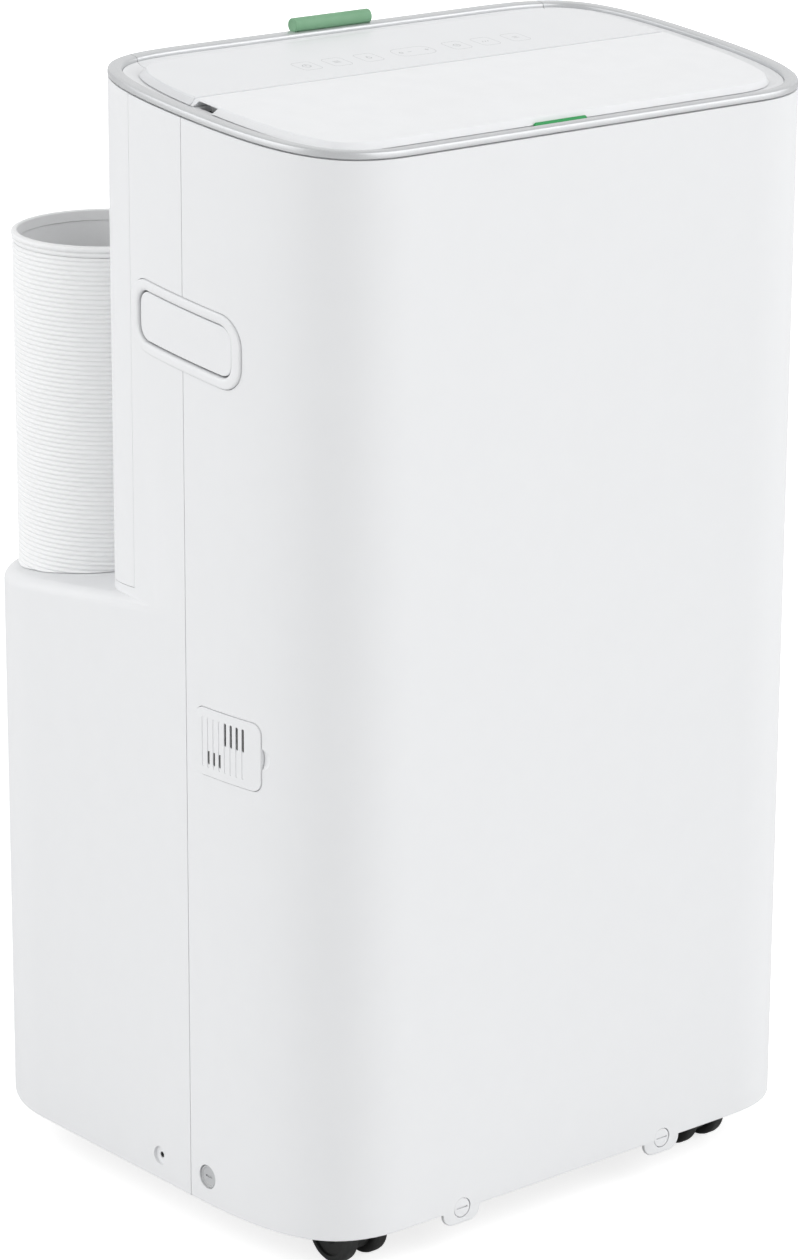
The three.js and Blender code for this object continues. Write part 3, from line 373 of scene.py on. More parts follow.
def mouldGrain():
    # the fine spark-eroded texture of moulded plastic: pits and soft orange peel
    group, source, sink = newGroup(
        "mouldGrain",
        [
            ("Vector", "NodeSocketVector", None), ("Scale", "NodeSocketFloat", 1400.0),
            ("Peel", "NodeSocketFloat", 60.0),
        ],
        [("Height", "NodeSocketFloat"), ("Gloss", "NodeSocketFloat")],
    )
    pits = group.nodes.new("ShaderNodeTexVoronoi")
    pits.feature = "SMOOTH_F1"
    wire(
        group,
        [
            (source.outputs["Vector"], pits.inputs["Vector"]),
            (source.outputs["Scale"], pits.inputs["Scale"]),
        ],
    )
    fine = noiseNode(group, source.outputs["Vector"], source.outputs["Scale"], 3.0, 0.6)
    peel = noiseNode(group, source.outputs["Vector"], source.outputs["Peel"], 2.0, 0.5)
    height = mathNode(
        group, "ADD", mathNode(group, "MULTIPLY", pits.outputs["Distance"], 0.6),
        mathNode(group, "MULTIPLY", fine, 0.5),
    )
    height = mathNode(group, "ADD", height, mathNode(group, "MULTIPLY", peel, 0.35))
    gloss = mathNode(
        group, "ADD", mathNode(group, "MULTIPLY", peel, 0.6), mathNode(group, "MULTIPLY", fine, 0.4),
    )
    wire(group, [(height, sink.inputs["Height"]), (gloss, sink.inputs["Gloss"])])
    return group


def settledDust():
    # a thin film of dust where the surface faces up, broken by soft clouds
    group, source, sink = newGroup(
        "settledDust",
        [("Vector", "NodeSocketVector", None), ("Amount", "NodeSocketFloat", 0.3)],
        [("Mask", "NodeSocketFloat")],
    )
    facing = group.nodes.new("ShaderNodeNewGeometry")
    parts = group.nodes.new("ShaderNodeSeparateXYZ")
    wire(group, [(facing.outputs["Normal"], parts.inputs["Vector"])])
    upward = stretch(group, parts.outputs["Z"], 0.35, 0.95)
    clouds = stretch(group, noiseNode(group, source.outputs["Vector"], 22.0, 5.0, 0.62), 0.38, 0.72)
    specks = stretch(group, noiseNode(group, source.outputs["Vector"], 900.0, 1.0), 0.6, 0.7)
    mask = mathNode(
        group, "ADD", mathNode(group, "MULTIPLY", clouds, 0.75),
        mathNode(group, "MULTIPLY", specks, 0.25),
    )
    mask = mathNode(
        group, "MULTIPLY", mathNode(group, "MULTIPLY", mask, upward), source.outputs["Amount"],
    )
    wire(group, [(mask, sink.inputs["Mask"])])
    return group


def handlingMarks():
    # faint smears and hairline scuffs from use, stronger near the floor
    group, source, sink = newGroup(
        "handlingMarks",
        [
            ("Vector", "NodeSocketVector", None), ("Amount", "NodeSocketFloat", 0.3),
            ("Reach", "NodeSocketFloat", 0.12),
        ],
        [("Mask", "NodeSocketFloat")],
    )
    parts = group.nodes.new("ShaderNodeSeparateXYZ")
    wire(group, [(source.outputs["Vector"], parts.inputs["Vector"])])
    low = mathNode(group, "DIVIDE", parts.outputs["Z"], source.outputs["Reach"])
    low = stretch(group, low, 1.0, 0.0, 0.0, 1.0)
    scale = group.nodes.new("ShaderNodeVectorMath")
    scale.operation = "MULTIPLY"
    scale.inputs[1].default_value = (1.0, 1.0, 7.0)
    wire(group, [(source.outputs["Vector"], scale.inputs[0])])
    hairs = stretch(group, noiseNode(group, scale.outputs[0], 120.0, 6.0, 0.7), 0.62, 0.70)
    smears = stretch(group, noiseNode(group, source.outputs["Vector"], 9.0, 4.0, 0.6), 0.45, 0.75)
    marks = mathNode(group, "MULTIPLY", hairs, mathNode(group, "ADD", low, 0.12))
    mask = mathNode(group, "ADD", marks, mathNode(group, "MULTIPLY", smears, 0.35))
    wire(group, [(mathNode(group, "MULTIPLY", mask, source.outputs["Amount"]), sink.inputs["Mask"])])
    return group


def metalFlake():
    # fine flakes and a soft drawn grain for satin metal and metallic paint
    group, source, sink = newGroup(
        "metalFlake",
        [("Vector", "NodeSocketVector", None), ("Scale", "NodeSocketFloat", 2600.0)],
        [("Height", "NodeSocketFloat"), ("Tint", "NodeSocketFloat")],
    )
    flakes = group.nodes.new("ShaderNodeTexVoronoi")
    wire(
        group,
        [
            (source.outputs["Vector"], flakes.inputs["Vector"]),
            (source.outputs["Scale"], flakes.inputs["Scale"]),
        ],
    )
    shade = group.nodes.new("ShaderNodeSeparateColor")
    wire(group, [(flakes.outputs["Color"], shade.inputs["Color"])])
    cloud = noiseNode(group, source.outputs["Vector"], 40.0, 3.0)
    tint = mathNode(
        group, "ADD", mathNode(group, "MULTIPLY", shade.outputs["Red"], 0.6),
        mathNode(group, "MULTIPLY", cloud, 0.4),
    )
    wire(group, [(shade.outputs["Green"], sink.inputs["Height"]), (tint, sink.inputs["Tint"])])
    return group


groups = {"grain": mouldGrain(), "dust": settledDust(), "marks": handlingMarks(), "flake": metalFlake()}


def useGroup(tree, key, vector, **values):
    node = tree.nodes.new("ShaderNodeGroup")
    node.node_tree = groups[key]
    tree.links.new(vector, node.inputs["Vector"])
    for label, value in values.items():
        node.inputs[label].default_value = value
    return node


def blendColour(tree, mask, first, second):
    node = tree.nodes.new("ShaderNodeMix")
    node.data_type = "RGBA"
    tree.links.new(mask, node.inputs["Factor"])
    for index, colour in ((6, first), (7, second)):
        if isinstance(colour, (tuple, list)):
            node.inputs[index].default_value = (*colour, 1)
        else:
            tree.links.new(colour, node.inputs[index])
    return node.outputs[2]


def startMaterial(name):
    material = bpy.data.materials.new(name)
    material.use_nodes = True
    tree = material.node_tree
    shader = tree.nodes["Principled BSDF"]
    where = tree.nodes.new("ShaderNodeTexCoord")
    return material, tree, shader, where.outputs["Object"]


def bumped(tree, shader, height, strength, distance):
    bump = tree.nodes.new("ShaderNodeBump")
    bump.inputs["Strength"].default_value = strength
    bump.inputs["Distance"].default_value = distance
    wire(tree, [(height, bump.inputs["Height"]), (bump.outputs["Normal"], shader.inputs["Normal"])])


def plastic(name, look):
    # moulded plastic: grain, soft gloss changes, dust on top and marks low down
    material, tree, shader, vector = startMaterial(name)
    grain = useGroup(tree, "grain", vector, Scale=look["grainScale"], Peel=look["peel"])
    dust = useGroup(tree, "dust", vector, Amount=look["dust"])
    marks = useGroup(tree, "marks", vector, Amount=look["marks"])
    base = blendColour(tree, grain.outputs["Gloss"], look["colour"], look["shade"])
    base = blendColour(tree, marks.outputs["Mask"], base, look["markColour"])
    base = blendColour(tree, dust.outputs["Mask"], base, look["dustColour"])
    wire(tree, [(base, shader.inputs["Base Color"])])
    rough = stretch(tree, grain.outputs["Gloss"], 0.3, 0.7, look["rough"][0], look["rough"][1])
    rough = mathNode(tree, "ADD", rough, mathNode(tree, "MULTIPLY", dust.outputs["Mask"], 0.25))
    wire(tree, [(rough, shader.inputs["Roughness"])])
    bumped(tree, shader, grain.outputs["Height"], look["bump"], 0.0002)
    shader.inputs["IOR"].default_value = 1.48
    if look.get("coat"):
        shader.inputs["Coat Weight"].default_value = look["coat"]
        shader.inputs["Coat Roughness"].default_value = 0.12
    if look.get("glow"):
        shader.inputs["Emission Color"].default_value = (*look["colour"], 1)
        shader.inputs["Emission Strength"].default_value = look["glow"]
    return material


def metal(name, look):
    material, tree, shader, vector = startMaterial(name)
    flake = useGroup(tree, "flake", vector, Scale=look["flakeScale"])
    marks = useGroup(tree, "marks", vector, Amount=look["marks"])
    base = blendColour(tree, flake.outputs["Tint"], look["colour"], look["shade"])
    base = blendColour(tree, marks.outputs["Mask"], base, look["markColour"])
    wire(tree, [(base, shader.inputs["Base Color"])])
    rough = stretch(tree, flake.outputs["Tint"], 0.2, 0.8, look["rough"][0], look["rough"][1])
    wire(tree, [(rough, shader.inputs["Roughness"])])
    shader.inputs["Metallic"].default_value = look["metallic"]
    bumped(tree, shader, flake.outputs["Height"], look["bump"], 0.00005)
    return material


plasticLooks = {
    "shellWhite": {
        "colour": (0.83, 0.838, 0.85), "shade": (0.80, 0.808, 0.82), "markColour": (0.72, 0.725, 0.73),
        "dustColour": (0.76, 0.755, 0.74), "dust": 0.10, "marks": 0.12, "grainScale": 1500.0,
        "peel": 55.0,
        "rough": (0.38, 0.50), "bump": 0.10,
    },
    "panelGrey": {
        "colour": (0.75, 0.76, 0.775), "shade": (0.74, 0.75, 0.765), "markColour": (0.72, 0.73, 0.74),
        "dustColour": (0.74, 0.73, 0.72), "dust": 0.03, "marks": 0.06, "grainScale": 2400.0, "peel": 30.0,
        "rough": (0.28, 0.34), "bump": 0.02, "coat": 0.2,
    },
    "iconGrey": {
        "colour": (0.40, 0.41, 0.42), "shade": (0.37, 0.38, 0.39), "markColour": (0.45, 0.45, 0.45),
        "dustColour": (0.6, 0.6, 0.6), "dust": 0.05, "marks": 0.1, "grainScale": 2400.0, "peel": 60.0,
        "rough": (0.35, 0.45), "bump": 0.02,
    },
    "hoseWhite": {
        "colour": (0.90, 0.905, 0.91), "shade": (0.86, 0.865, 0.87), "markColour": (0.76, 0.76, 0.75),
        "dustColour": (0.74, 0.735, 0.72), "dust": 0.22, "marks": 0.2, "grainScale": 900.0, "peel": 80.0,
        "rough": (0.42, 0.58), "bump": 0.12,
    },
    "softGrey": {
        "colour": (0.52, 0.53, 0.54), "shade": (0.47, 0.48, 0.49), "markColour": (0.4, 0.4, 0.4),
        "dustColour": (0.62, 0.61, 0.59), "dust": 0.3, "marks": 0.3, "grainScale": 1200.0, "peel": 60.0,
        "rough": (0.45, 0.6), "bump": 0.15,
    },
    "pocketGrey": {
        "colour": (0.42, 0.43, 0.44), "shade": (0.38, 0.39, 0.40), "markColour": (0.35, 0.35, 0.35),
        "dustColour": (0.5, 0.5, 0.49), "dust": 0.2, "marks": 0.2, "grainScale": 1400.0, "peel": 60.0,
        "rough": (0.45, 0.6), "bump": 0.12,
    },
    "darkPlastic": {
        "colour": (0.060, 0.061, 0.064), "shade": (0.045, 0.046, 0.048), "markColour": (0.11, 0.11, 0.11),
        "dustColour": (0.30, 0.29, 0.28), "dust": 0.22, "marks": 0.25, "grainScale": 1300.0, "peel": 70.0,
        "rough": (0.42, 0.6), "bump": 0.15,
    },
    "casterBlack": {
        "colour": (0.020, 0.021, 0.0205), "shade": (0.013, 0.014, 0.0135),
        "markColour": (0.07, 0.068, 0.065),
        "dustColour": (0.18, 0.17, 0.16), "dust": 0.12, "marks": 0.5, "grainScale": 1100.0, "peel": 90.0,
        "rough": (0.34, 0.52), "bump": 0.16,
    },
    "tabGreen": {
        "colour": (0.205, 0.405, 0.245), "shade": (0.17, 0.355, 0.205), "markColour": (0.14, 0.30, 0.17),
        "dustColour": (0.42, 0.5, 0.42), "dust": 0.12, "marks": 0.2, "grainScale": 1600.0, "peel": 120.0,
        "rough": (0.50, 0.64), "bump": 0.2,
    },
    "lightGreen": {
        "colour": (0.003, 0.27, 0.06), "shade": (0.002, 0.25, 0.055), "markColour": (0.02, 0.3, 0.1),
        "dustColour": (0.1, 0.4, 0.2), "dust": 0.02, "marks": 0.02, "grainScale": 2000.0, "peel": 60.0,
        "rough": (0.4, 0.5), "bump": 0.02, "glow": 0.15,
    },
    "rubberBlack": {
        "colour": (0.018, 0.018, 0.019), "shade": (0.012, 0.012, 0.013),
        "markColour": (0.08, 0.08, 0.075),
        "dustColour": (0.16, 0.155, 0.15), "dust": 0.2, "marks": 0.4, "grainScale": 800.0, "peel": 50.0,
        "rough": (0.62, 0.8), "bump": 0.25,
    },
}
metalLooks = {
    "rimSilver": {
        "colour": (0.63, 0.64, 0.65), "shade": (0.56, 0.57, 0.58), "markColour": (0.5, 0.5, 0.5),
        "marks": 0.1,
        "flakeScale": 3200.0, "rough": (0.28, 0.40), "metallic": 0.55, "bump": 0.06,
    },
    "zincSteel": {
        "colour": (0.50, 0.51, 0.52), "shade": (0.42, 0.43, 0.44), "markColour": (0.3, 0.3, 0.3),
        "marks": 0.3,
        "flakeScale": 700.0, "rough": (0.28, 0.46), "metallic": 1.0, "bump": 0.15,
    },
    "screwSteel": {
        "colour": (0.56, 0.56, 0.57), "shade": (0.5, 0.5, 0.51), "markColour": (0.3, 0.3, 0.3),
        "marks": 0.2,
        "flakeScale": 2600.0, "rough": (0.24, 0.36), "metallic": 1.0, "bump": 0.05,
    },
    "finAluminium": {
        "colour": (0.66, 0.67, 0.68), "shade": (0.56, 0.57, 0.58), "markColour": (0.36, 0.36, 0.35),
        "marks": 0.25,
        "flakeScale": 900.0, "rough": (0.3, 0.5), "metallic": 1.0, "bump": 0.1,
    },
    "copperTube": {
        "colour": (0.62, 0.29, 0.16), "shade": (0.46, 0.20, 0.11), "markColour": (0.24, 0.12, 0.08),
        "marks": 0.5,
        "flakeScale": 500.0, "rough": (0.24, 0.44), "metallic": 1.0, "bump": 0.08,
    },
    "compressorBlack": {
        "colour": (0.022, 0.023, 0.025), "shade": (0.015, 0.016, 0.018),
        "markColour": (0.07, 0.068, 0.06), "marks": 0.4,
        "flakeScale": 600.0, "rough": (0.3, 0.46), "metallic": 0.2, "bump": 0.12,
    },
}
finishes = {name: plastic(name, look) for name, look in plasticLooks.items()}
finishes.update({name: metal(name, look) for name, look in metalLooks.items()})
print("finishes made:", len(finishes))

# ---- shells ----
shellTop = -cabinet["rimHeight"] - 0.9
gap = cabinet["seamGap"] / 2
far = 900.0


def tube(outerFoot, rear="upper"):
    # the cabinet's wall all round, softly rounded at its foot
    wall, soft = cabinet["wall"], cabinet["footSoftness"]
    rings = [
        planRing(0, level(outerFoot + soft), rear),
        planRing(0.3 * soft, level(outerFoot + 0.3 * soft), rear),
        planRing(soft, level(outerFoot), rear),
        planRing(wall, level(outerFoot), rear),
        planRing(wall, onTop(shellTop), rear),
        planRing(0.35, onTop(shellTop), rear),
        planRing(0, onTop(shellTop - 0.35), rear),
    ]
    return loft(rings, closed=True)


handle = {
    "depth": 126.0,
    "height": 590.1,
    "length": 108.0,
    "tall": 45.3,
    "corner": 17.0,
    "proud": 1.5,
    "flapLength": 90.0,
    "flapTall": 30.3,
    "flapCorner": 9.0,
    "flapGap": 1.1,
    "swingRoom": 1.6,  # the pocket is this much wider than its mouth
    "cupWall": 1.6,
    "flapThick": 2.5,
    "pocket": 42.0,
}
sensor = {
    "front": 57.6,
    "length": 58.0,
    "foot": 316.0,
    "tall": 43.5,
    "corner": 7.0,
    "proud": 0.8,
    "grooves": 8,
    "grooveWidth": 2.1,
    "grooveDepth": 0.35,
    "groovePitch": 5.2,
    "grooveMargin": 5.6,
    "border": 7.2,
    "upperSlots": 4,
    "upperShare": 0.46,  # of a groove's height
    "lowerShare": 0.27,
    "lowerDrop": 0.30,
    # the dark sheet behind the sensor slots is painted shade; this is how far its tops stay below the
    # cover's face
    "shadeSheetSunk": 0.75,
    "fingerRadius": 6.6,
    "fingerStretch": (0.34, 1.4, 1),
}
sensorDepth = sensor["front"] + sensor["length"] / 2
sensorMiddle = sensor["foot"] + sensor["tall"] / 2


def throughSide(length, tall, corner, depth, height, x0, x1, segments=10):
    # a round-cornered bar across the cabinet, for openings in its sides
    bar = roundPlate(length, tall, corner, x1 - x0, segments)
    upright = Matrix(((0, 0, 1, x0), (1, 0, 0, depth), (0, 1, 0, height), (0, 0, 0, 1)))
    return moved(bar, upright)


def bar(axis, x, depth, z, length, radius, steps=32):
    # a plain round bar from a point, along "x", "y" or "z"
    bm = bmesh.new()
    bmesh.ops.create_cone(bm, cap_ends=True, segments=steps, radius1=radius, radius2=radius, depth=length)
    turn = {"x": alongX, "y": alongBack, "z": Matrix.Identity(4)}[axis]
    return moved(bm, shift(x, depth, z) @ turn @ shift(0, 0, length / 2))


def alongTop(bm):
    # leans a side fitting so that it lies parallel to the sloping top
    lean = Matrix.Identity(4)
    lean[2][1], lean[2][3] = topSlope, -topSlope * handle["depth"]
    return moved(bm, lean)


def handleHole(x0, x1):
    return alongTop(throughSide(
        handle["length"] + 2 * fit, handle["tall"] + 2 * fit, handle["corner"] + fit,
        handle["depth"], handle["height"], x0, x1,
    ))


plugLow, plugHigh = extent("side_drain_plug")
drainDepth = (plugLow.y + plugHigh.y) / 2
drainHeight = (plugLow.z + plugHigh.z) / 2
screwLow, screwHigh = extent("side_screw")
screwDepth = (screwLow.y + screwHigh.y) / 2
screwHeight = (screwLow.z + screwHigh.z) / 2
locks = {"radius": 6.4, "tabWidth": 31.0, "tabDrop": 9.0, "tabCorner": 8.7}
lockPlaces = {}
for side in ("left", "right"):
    low, high = extent(f"lock_disc_{side}")
    lockPlaces[side] = ((low.x + high.x) / 2, (low.z + high.z) / 2)


def softenWhere(bm, test, offset, segments=2):
    edges = [e for e in sharpEdges(bm) if all(test(v.co) for v in e.verts)]
    soften(bm, edges, offset, segments)


def frontShell():
    seamAt = cabinet["seamDepth"] - gap
    shell = combined(tube(foot), block(-far, far, seamAt, far, -far, far))
    softenWhere(shell, lambda p: abs(p.y - seamAt) < 0.01 and abs(p.x) > halfWidth - 1, 0.4)
    for x, height in lockPlaces.values():
        tab = roundPlate(
            locks["tabWidth"], 2 * locks["tabDrop"], locks["tabCorner"], cabinet["wall"] - 0.3, 6,
        )
        soften(tab, [e for e in sharpEdges(tab) if e.verts[0].co.z > 1 and e.verts[1].co.z > 1], 0.7, 3)
        upright = Matrix(((-1, 0, 0, x), (0, 0, -1, cabinet["wall"]), (0, 1, 0, foot), (0, 0, 0, 1)))
        shell = combined(shell, moved(tab, upright), "UNION")
        shell = combined(shell, bar("y", x, -10, height, 30, locks["radius"] + fit, 40))
    shell = combined(shell, handleHole(-far, far))
    shell = combined(
        shell,
        throughSide(sensor["length"] + 2 * fit, sensor["tall"] + 2 * fit, sensor["corner"] + fit,
                    sensorDepth, sensorMiddle, -far, 0),
    )
    finger = bmesh.new()
    bmesh.ops.create_uvsphere(finger, u_segments=32, v_segments=20, radius=sensor["fingerRadius"])
    bmesh.ops.scale(finger, vec=sensor["fingerStretch"], verts=finger.verts)
    onSide = sideAt(sensor["front"])
    moved(finger, shift(-onSide, sensor["front"], sensorMiddle))
    shell = combined(shell, finger)
    return combined(
        shell, bar("x", -far, drainDepth, drainHeight, far, (plugHigh.y - plugLow.y) / 2 + fit, 32),
    )


sideLine = []
for curve in cornerCurves("upper"):
    sideLine += [bezier(curve, k / 60)[0] for k in range(61)]


def sideAt(depth):
    # half the cabinet's width at a depth
    for near, after in zip(sideLine, sideLine[1:]):
        if near.y <= depth <= after.y and after.y > near.y:
            return near.x + (after.x - near.x) * (depth - near.y) / (after.y - near.y)
    return halfWidth


def ledgeBlank(inset, drop, bottom):
    # the lower body as one block, with the step's soft edge all round
    radius = cabinet["ledgeFillet"]
    rings = [planRing(inset, level(bottom), "lower")]
    if not inset:
        soft = cabinet["footSoftness"]
        rings = [
            planRing(soft, level(bottom), "lower"),
            planRing(0.3 * soft, level(bottom + 0.3 * soft), "lower"),
            planRing(0, level(bottom + soft), "lower"),
        ]
    for k in range(7):
        angle = k / 6 * math.pi / 2
        inwards = radius * (1 - math.cos(angle))
        rings.append(planRing(inset + inwards, onLedge(-drop - radius * (1 - math.sin(angle))), "lower"))
    return loft(rings)


upperGrille = {"width": 236.0, "columns": 4, "rows": 34, "margin": 16.0}
lowerGrille = {"width": 220.0, "columns": 4, "rows": 34, "corner": 10.0, "margin": 11.0}


def rearShell():
    wall = cabinet["wall"]
    tower = loft([planRing(0, level(foot + 5)), planRing(0, onTop(shellTop))])
    hollow = loft([planRing(wall, level(foot + 5 - 0.01)), planRing(wall, level(topHeight + 40))])
    outer = combined(tower, ledgeBlank(0, 0, foot), "UNION")
    inner = combined(hollow, ledgeBlank(wall, wall, foot - 5), "UNION")
    shell = combined(outer, inner)
    seamAt = cabinet["seamDepth"] + gap
    shell = combined(shell, block(-far, far, -far, seamAt, -far, far))
    coverAt = cabinet["coverSeam"] - gap
    space = block(-far, far, coverAt, upperDepth + fit, 300, far)
    floorCut = sheared(
        block(-far, far, coverAt - 9, upperDepth + 9, -300, cabinet["coverLift"] - 2 * gap),
        -cabinet["ledgeSlope"],
    )
    shell = combined(shell, combined(space, floorCut))
    softenWhere(shell, lambda p: abs(p.y - seamAt) < 0.01 and abs(p.x) > halfWidth - 0.3, 0.4)
    shell = combined(shell, handleHole(-far, far))
    low, high = extent("lower_rear_grille")
    panel = roundPlate(high.x - low.x + 2 * fit, high.z - low.z + 2 * fit, lowerGrille["corner"], 30, 6)
    shell = combined(shell, moved(panel, shift(0, bodyDepth - 15, (low.z + high.z) / 2) @ alongBack))
    shell = combined(shell, bar("x", -far, screwDepth, screwHeight, far, 2.0, 20))
    sink = bar(
        "x", -halfWidth - 5, screwDepth, screwHeight, 6.9, (screwHigh.y - screwLow.y) / 2 + 0.8, 48,
    )
    shell = combined(shell, sink)
    for node in ("cord_gland", "rear_drain_plug"):
        low, high = extent(node)
        radius = (high.x - low.x) / 2 + fit
        shell = combined(
            shell, bar("y", (low.x + high.x) / 2, bodyDepth - 40, (low.z + high.z) / 2, 60, radius, 32),
        )
    low, high = extent("hose_socket")
    return combined(
        shell,
        bar("z", (low.x + high.x) / 2, (low.y + high.y) / 2, 300, 200, (high.x - low.x) / 2 - 3.3, 64),
    )


def sheared(bm, slope, height=None, depth=None):
    # leans a level body so that it follows a sloping surface
    height = cabinet["ledgeHeight"] if height is None else height
    depth = bodyDepth if depth is None else depth
    lean = Matrix(((1, 0, 0, 0), (0, 1, 0, 0), (0, slope, 1, height - slope * depth), (0, 0, 0, 1)))
    return moved(bm, lean)


def slotRows(width, columns, rows, low, high, y0, y1, share=0.5):
    # rows of slots between two heights, as one body for cutting
    bodies = []
    webs = 6.0
    span = (width - webs * (columns - 1)) / columns
    pitch = (high - low) / rows
    for row in range(rows):
        z = low + (row + 0.5) * pitch
        for column in range(columns):
            x = -width / 2 + span / 2 + column * (span + webs)
            half = pitch * share / 2
            bodies.append(block(x - span / 2, x + span / 2, y0, y1, z - half, z + half))
    return added(*bodies)


def rearUpperCover():
    wall = cabinet["wall"]
    rings = [
        planRing(0, level(300)), planRing(wall, level(300)), planRing(wall, onTop(shellTop)),
        planRing(0.35, onTop(shellTop)), planRing(0, onTop(shellTop - 0.35)),
    ]
    cover = loft(rings, closed=True)
    coverAt = cabinet["coverSeam"] + gap
    cover = combined(cover, block(-far, far, -far, coverAt, -far, far))
    softenWhere(cover, lambda p: abs(p.y - coverAt) < 0.01, 0.4)
    below = sheared(block(-far, far, -far, far, -far, cabinet["coverLift"]), -cabinet["ledgeSlope"])
    cover = combined(cover, below)
    low, high = extent("drip_tray")
    lowest = high.z + upperGrille["margin"]
    highest = topHeight - 50
    slots = slotRows(
        upperGrille["width"], upperGrille["columns"], upperGrille["rows"], lowest, highest,
        upperDepth - 10, upperDepth + 10,
    )
    return combined(cover, slots)


def lowerRearGrille():
    low, high = extent("lower_rear_grille")
    plate = roundPlate(high.x - low.x, high.z - low.z, lowerGrille["corner"] - fit, cabinet["wall"], 8)
    soften(plate, [e for e in sharpEdges(plate) if e.verts[0].co.z > 1 and e.verts[1].co.z > 1], 0.6, 3)
    # stands upright with its softened face to the back
    upright = Matrix(
        (
            (-1, 0, 0, 0), (0, 0, 1, bodyDepth - cabinet["wall"]), (0, 1, 0, (low.z + high.z) / 2),
            (0, 0, 0, 1),
        )
    )
    moved(plate, upright)
    margin = lowerGrille["margin"]
    slots = slotRows(
        lowerGrille["width"], lowerGrille["columns"], lowerGrille["rows"], low.z + margin,
        high.z - margin, bodyDepth - 10, bodyDepth + 10,
    )
    return combined(plate, slots)


white = finishes["shellWhite"]
piece("frontShell", frontShell(), "cabinet", white, ["front_shell"])
piece("rearShell", rearShell(), "cabinet", white, ["rear_shell"])
piece("rearUpperCover", rearUpperCover(), "cabinet", white, ["rear_upper_cover"])
piece("lowerRearGrille", lowerRearGrille(), "cabinet", white, ["lower_rear_grille"])
print("shells made")

# ---- top: rim, deck, plateau ----
top = {
    "rimWidth": 9.0,
    "frontDip": 1.3,
    "dipEnd": 70.0,
    "gutterStart": 3.0,  # gutter below the rim at the rim's inner edge
    "gutterDrop": 5.0,
    "plateauSide": 23.5,
    "plateauFront": 20.0,
    "draftSide": 4.2,  # how far the plateau's side wall spreads at its foot
    "draftFront": 1.4,
    "frontBlend": 62.0,
    "edgeRound": 1.1,
    "hingeDepth": 142.8,
    "hingeRound": 2.35,
    "notchRear": 137.0,
    "notchLength": 18.5,
    "notchWidth": 8.0,
    "notchSkin": 1.2,
    "notchLean": 3.0,
}
capLow, capHigh = extent("filter_cap")
capFront = capLow.y
capHalf = capHigh.x


def plateauInset(grow):
    # the plateau's edge: nearer to the rim at the front than at the sides
    def inset(depth):
        share = min(1.0, max(0.0, depth / top["frontBlend"]))
        share = share * share * (3 - 2 * share)
        front, side = top["plateauFront"], top["plateauSide"]
        draftFront, draftSide = top["draftFront"], top["draftSide"]
        return front + (side - front) * share - grow * (draftFront + (draftSide - draftFront) * share)
    return inset


def rimLevel(drop, inset):
    # the rim's inner half dips along the front
    dip = top["frontDip"] * max(0.0, min(1.0, (inset - 4.6) / 3.0))
    return lambda depth: onTop(drop)(depth) - dip * max(0.0, 1 - depth / top["dipEnd"]) ** 2


def rimBody():
    width, tall = top["rimWidth"], cabinet["rimHeight"]
    section = [(0.35, -tall), (0, -tall + 0.35), (0, -1.9), (0.45, -0.75), (1.5, -0.1), (2.8, 0)]
    section += [
        (4.6, 0), (width - 2.4, 0), (width - 1.0, -0.25), (width - 0.25, -0.9), (width, -1.8),
        (width, -tall + 0.3), (width - 0.3, -tall),
    ]
    return loft([planRing(inset, rimLevel(drop, inset)) for inset, drop in section], closed=True)


def capBlock(grow):
    return block(-capHalf - grow, capHalf + grow, capFront - grow, far, 0, far)


piece(
    "topRim", combined(rimBody(), capBlock(fit)), "cabinet", finishes["rimSilver"],
    ["top_rim"],
)


def gutterRings(inner):
    # a shallow channel from the rim's inner edge to under the plateau
    start, drop, width = top["gutterStart"], top["gutterDrop"], top["rimWidth"]
    shape = [
        (0.35, -start), (1.5, -start - 0.75), (3.2, -start - 1.4), (5.6, -drop + 0.2), (8.5, -drop),
        (inner, -drop),
    ]
    return [planRing(width + step, onTop(height)) for step, height in shape]


def topDeck():
    outer = cabinet["wall"] + fit
    under = top["gutterDrop"] + 3
    rings = [
        planRing(40, onTop(-under)), planRing(outer, onTop(-under)),
        planRing(outer, onTop(-top["gutterDrop"] - 0.2)),
    ]
    rings += [planRing(top["rimWidth"] + 0.35, onTop(-top["gutterDrop"] - 0.2))]
    deck = loft(rings + gutterRings(30))
    low, high = extent("outlet_duct")
    skin = 2.0
    deck = combined(deck, block(low.x + skin, high.x - skin, low.y + skin, high.y - skin, 0, far))
    deck = combined(deck, capBlock(fit))
    for side in (-1, 1):
        edge = halfWidth - top["plateauSide"]
        x0, x1 = sorted((side * (edge - top["notchWidth"]), side * (edge + 1)))
        front = top["notchRear"] - top["notchLength"]
        deck = combined(deck, block(x0, x1, front, top["notchRear"], 0, far))
    return deck


piece("topDeck", topDeck(), "cabinet", white, ["top_deck"])
capTop = gutterRings(30)
tabLow, tabHigh = extent("pull_tab")


def tabGroove():
    radius = (tabHigh.z - tabLow.z) / 2
    return bar(
        "x", tabLow.x - 0.3, tabHigh.y - radius, tabHigh.z - radius, tabHigh.x - tabLow.x + 0.6,
        radius + 0.3, 48,
    )


capBody = loft(
    [
        planRing(40, onTop(-14)), planRing(cabinet["wall"] + fit, onTop(-14)),
        planRing(cabinet["wall"] + fit, onTop(-cabinet["rimHeight"] - 0.3)),
        planRing(top["rimWidth"] + 0.35, onTop(-cabinet["rimHeight"] - 0.3)),
    ] + capTop
)
piece(
    "filterCapTray", combined(combined(capBody, capBlock(0), "INTERSECT"), tabGroove()), "filter", white,
)


